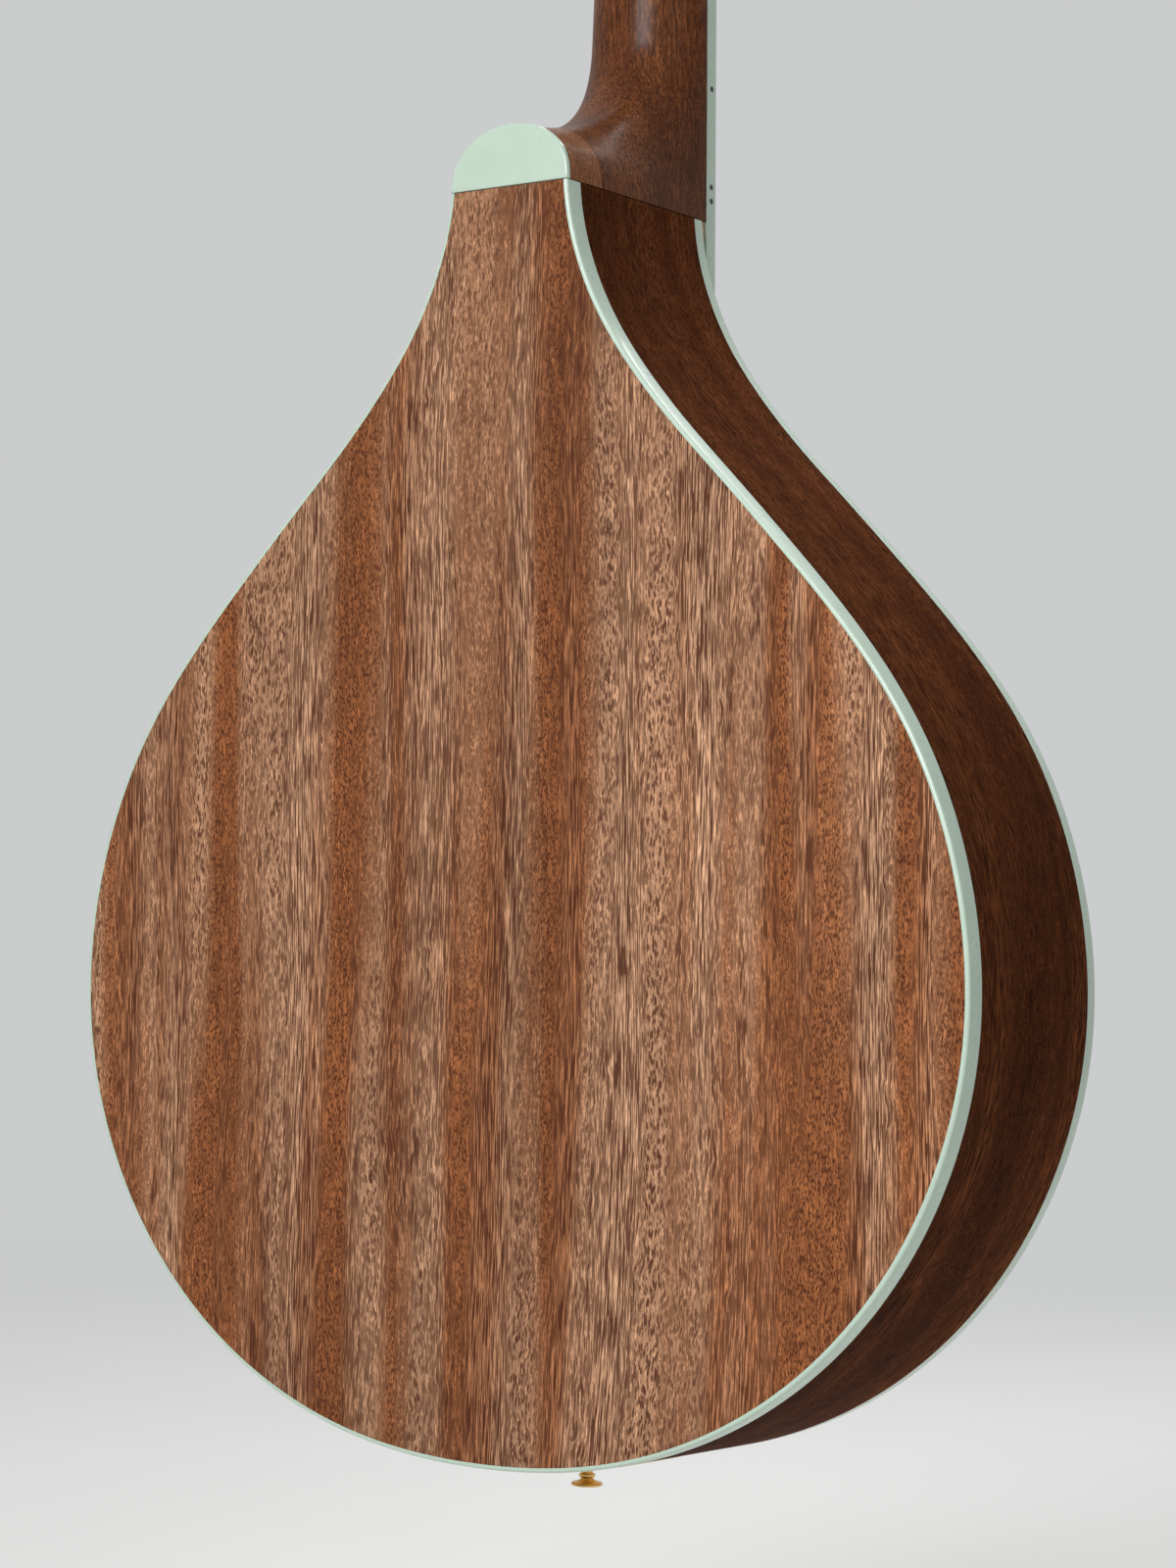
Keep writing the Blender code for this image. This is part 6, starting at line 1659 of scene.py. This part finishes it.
    def make_strap_button(self) -> None:
        """The turned button with two beads and a flared end."""
        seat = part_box("strap_button")[0].z + STRAP_BUTTON_LENGTH
        r, length = STRAP_BUTTON_RADIUS, STRAP_BUTTON_LENGTH
        corners = [
            (0.72, 0.0), (0.74, 0.06), (0.70, 0.15), (0.42, 0.31), (0.50, 0.36), (0.50, 0.42), (0.36, 0.50),
            (0.38, 0.56), (0.52, 0.60), (0.52, 0.66), (0.38, 0.74), (0.50, 0.80), (0.80, 0.86), (0.97, 0.90),
            (1.0, 0.94), (0.97, 0.98), (0.86, 1.0),
        ]
        smooth = smooth_curve(corners, (0.0, 1.0), (-1.0, 0.2), 60)
        profile = [(0.0, 0.001), *[(r * float(a), -length * min(1.0, float(b))) for a, b in smooth]]
        profile += [(r * 0.3, -length), (0.0, -length + 0.0003)]
        place = Matrix.Translation((0, SOUNDBOARD_Y + STRAP_BUTTON_DEPTH, seat))
        self.add("turned_strap_button", turned(profile, 48), GOLD, ["strap_button"], "gold_metal", matrix=place)


@dataclass
class Studio:
    """Camera, floor and lights."""

    materials: Materials

    def build(self) -> None:
        """Makes the studio."""
        bpy.context.scene.view_settings.view_transform = "Standard"
        self.make_camera()
        self.make_floor()
        self.make_lamps()
        self.make_surround()

    def make_camera(self) -> None:
        """The camera at the photograph's place, turned, tilted and rolled as fitted."""
        place = AIM_POINT + CAMERA_DISTANCE * Vector((-math.sin(CAMERA_TURN), math.cos(CAMERA_TURN), 0.0))
        up = Vector((0, 0, 1))
        ahead = (AIM_POINT - place).normalized()
        right = ahead.cross(up).normalized()
        ahead = ahead * math.cos(CAMERA_PAN) + right * math.sin(CAMERA_PAN)
        right = ahead.cross(up).normalized()
        ahead = ahead * math.cos(CAMERA_TILT) + up * math.sin(CAMERA_TILT)
        above = right.cross(ahead)
        right = right * math.cos(CAMERA_ROLL) + above * math.sin(CAMERA_ROLL)
        above = right.cross(ahead)
        data = bpy.data.cameras.new("camera")
        data.sensor_width = SENSOR_MM
        data.lens = FOCAL_PIXELS / IMAGE_LONG_SIDE * SENSOR_MM
        data.clip_start = 0.01
        data.clip_end = 30.0
        camera = bpy.data.objects.new("camera", data)
        camera.matrix_world = Matrix((
            (right.x, above.x, -ahead.x, place.x),
            (right.y, above.y, -ahead.y, place.y),
            (right.z, above.z, -ahead.z, place.z),
            (0, 0, 0, 1),
        ))
        bpy.context.scene.collection.objects.link(camera)
        bpy.context.scene.camera = camera

    def seen(self, n: Nodes) -> bpy.types.NodeSocket:
        """1 where a thing is seen straight, mirrored or through something, and 0 where it only lights."""
        rays = n.add("ShaderNodeLightPath").outputs
        straight = n.math("MAXIMUM", rays["Is Camera Ray"], rays["Is Glossy Ray"])
        return n.math("MAXIMUM", straight, rays["Is Transmission Ray"])

    def make_floor(self) -> None:
        """A wide pale floor below the instrument that runs out into the surround."""
        bm = bmesh.new()
        bmesh.ops.create_grid(bm, x_segments=8, y_segments=8, size=14.0)
        bm.transform(Matrix.Translation((0, 0, CAD_BOUNDS[0][2] - FLOOR_BELOW)))
        material = self.materials.of(FLOOR)
        n = Nodes(material.node_tree)
        shader = material.node_tree.nodes["Principled BSDF"]
        output = material.node_tree.nodes["Material Output"]
        away = n.add("ShaderNodeVectorMath", operation="LENGTH")
        n.link(n.scaled(n.add("ShaderNodeTexCoord").outputs["Object"], (1.0, 1.0, 0.0)), away.inputs[0])
        glow = n.add("ShaderNodeEmission")
        glow.inputs["Color"].default_value = (*SURROUND_COLOUR, 1.0)
        glow.inputs["Strength"].default_value = SURROUND_SEEN
        blend = n.add("ShaderNodeMixShader")
        far = n.between(away.outputs["Value"], 0.5, 2.4)
        n.link(n.math("MULTIPLY", far, self.seen(n)), blend.inputs[0])
        n.link(shader.outputs[0], blend.inputs[1])
        n.link(glow.outputs[0], blend.inputs[2])
        n.link(blend.outputs[0], output.inputs["Surface"])
        finished("floor", bm, material)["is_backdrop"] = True

    def make_lamps(self) -> None:
        """A large soft lamp behind the back, a weak one beside the camera and one for the front."""
        for name, place, size, power, spread in (
            ("key", (-0.10, 2.2, 0.35), 0.9, 5.0, 55.0),
            ("fill", (-1.9, 1.2, 0.6), 1.2, 3.0, 180.0),
            ("front", (0.2, -1.1, 1.6), 1.3, 42.0, 180.0),
        ):
            data = bpy.data.lights.new(name, "AREA")
            data.size = size
            data.energy = power
            data.spread = math.radians(spread)
            lamp = bpy.data.objects.new(name, data)
            lamp.location = place
            aim = Vector((-0.12, 0.03, -0.42)) - Vector(place)
            lamp.rotation_euler = aim.to_track_quat("-Z", "Y").to_euler()
            bpy.context.scene.collection.objects.link(lamp)

    def make_surround(self) -> None:
        """An even surround, paler where it is seen or mirrored than where it lights."""
        world = bpy.data.worlds.new("surround")
        world.use_nodes = True
        n = Nodes(world.node_tree)
        background = world.node_tree.nodes["Background"]
        background.inputs["Color"].default_value = (*SURROUND_COLOUR, 1.0)
        strength = n.math("ADD", n.math("MULTIPLY", self.seen(n), SURROUND_SEEN - SURROUND_LIGHT), SURROUND_LIGHT)
        n.link(strength, background.inputs["Strength"])
        bpy.context.scene.world = world


def dress_cad_nodes(materials: Materials) -> None:
    """Gives every CAD node its finish, for those that still show."""
    finishes = {
        "heel_block": NECK_WOOD, "neck": NECK_WOOD, "fingerboard": DARK_WOOD, "bridge": DARK_WOOD,
        "headstock_veneer": DARK_WOOD, "truss_rod_cover": BLACK, "nut": BONE, "saddle": BONE,
        "truss_rod": STEEL, "truss_rod_nut": STEEL, "neck_bolt_1": STEEL, "neck_bolt_2": STEEL,
        "heel_cap": BINDING, "fingerboard_binding": BINDING, "rosette": BINDING,
    }
    for name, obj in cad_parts.items():
        finish = finishes.get(name, PALE_WOOD)
        if name.startswith(("tuner", "tailpiece", "strap")):
            finish = GOLD
        elif name.startswith("string"):
            finish = STEEL
        if not obj.material_slots:
            obj.data.materials.append(materials.of(finish))
        for slot in obj.material_slots:
            slot.material = materials.of(finish)


def main() -> None:
    """Builds the looks and logs each piece."""
    logging.basicConfig(level=logging.INFO)
    materials = Materials()
    Studio(materials).build()
    assemblies = (
        Body(materials), Neck(materials), Fingerboard(materials), Headstock(materials),
        TuningMachines(materials), Strings(materials), Fittings(materials),
    )
    for assembly in assemblies:
        before = {piece.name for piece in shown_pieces()}
        assembly.build()
        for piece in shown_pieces():
            if piece.name not in before:
                LOG.info("%s: %s, %d faces", type(assembly).__name__, piece.name, len(piece.data.polygons))
    dress_cad_nodes(materials)


if __name__ == "__main__":
    main()
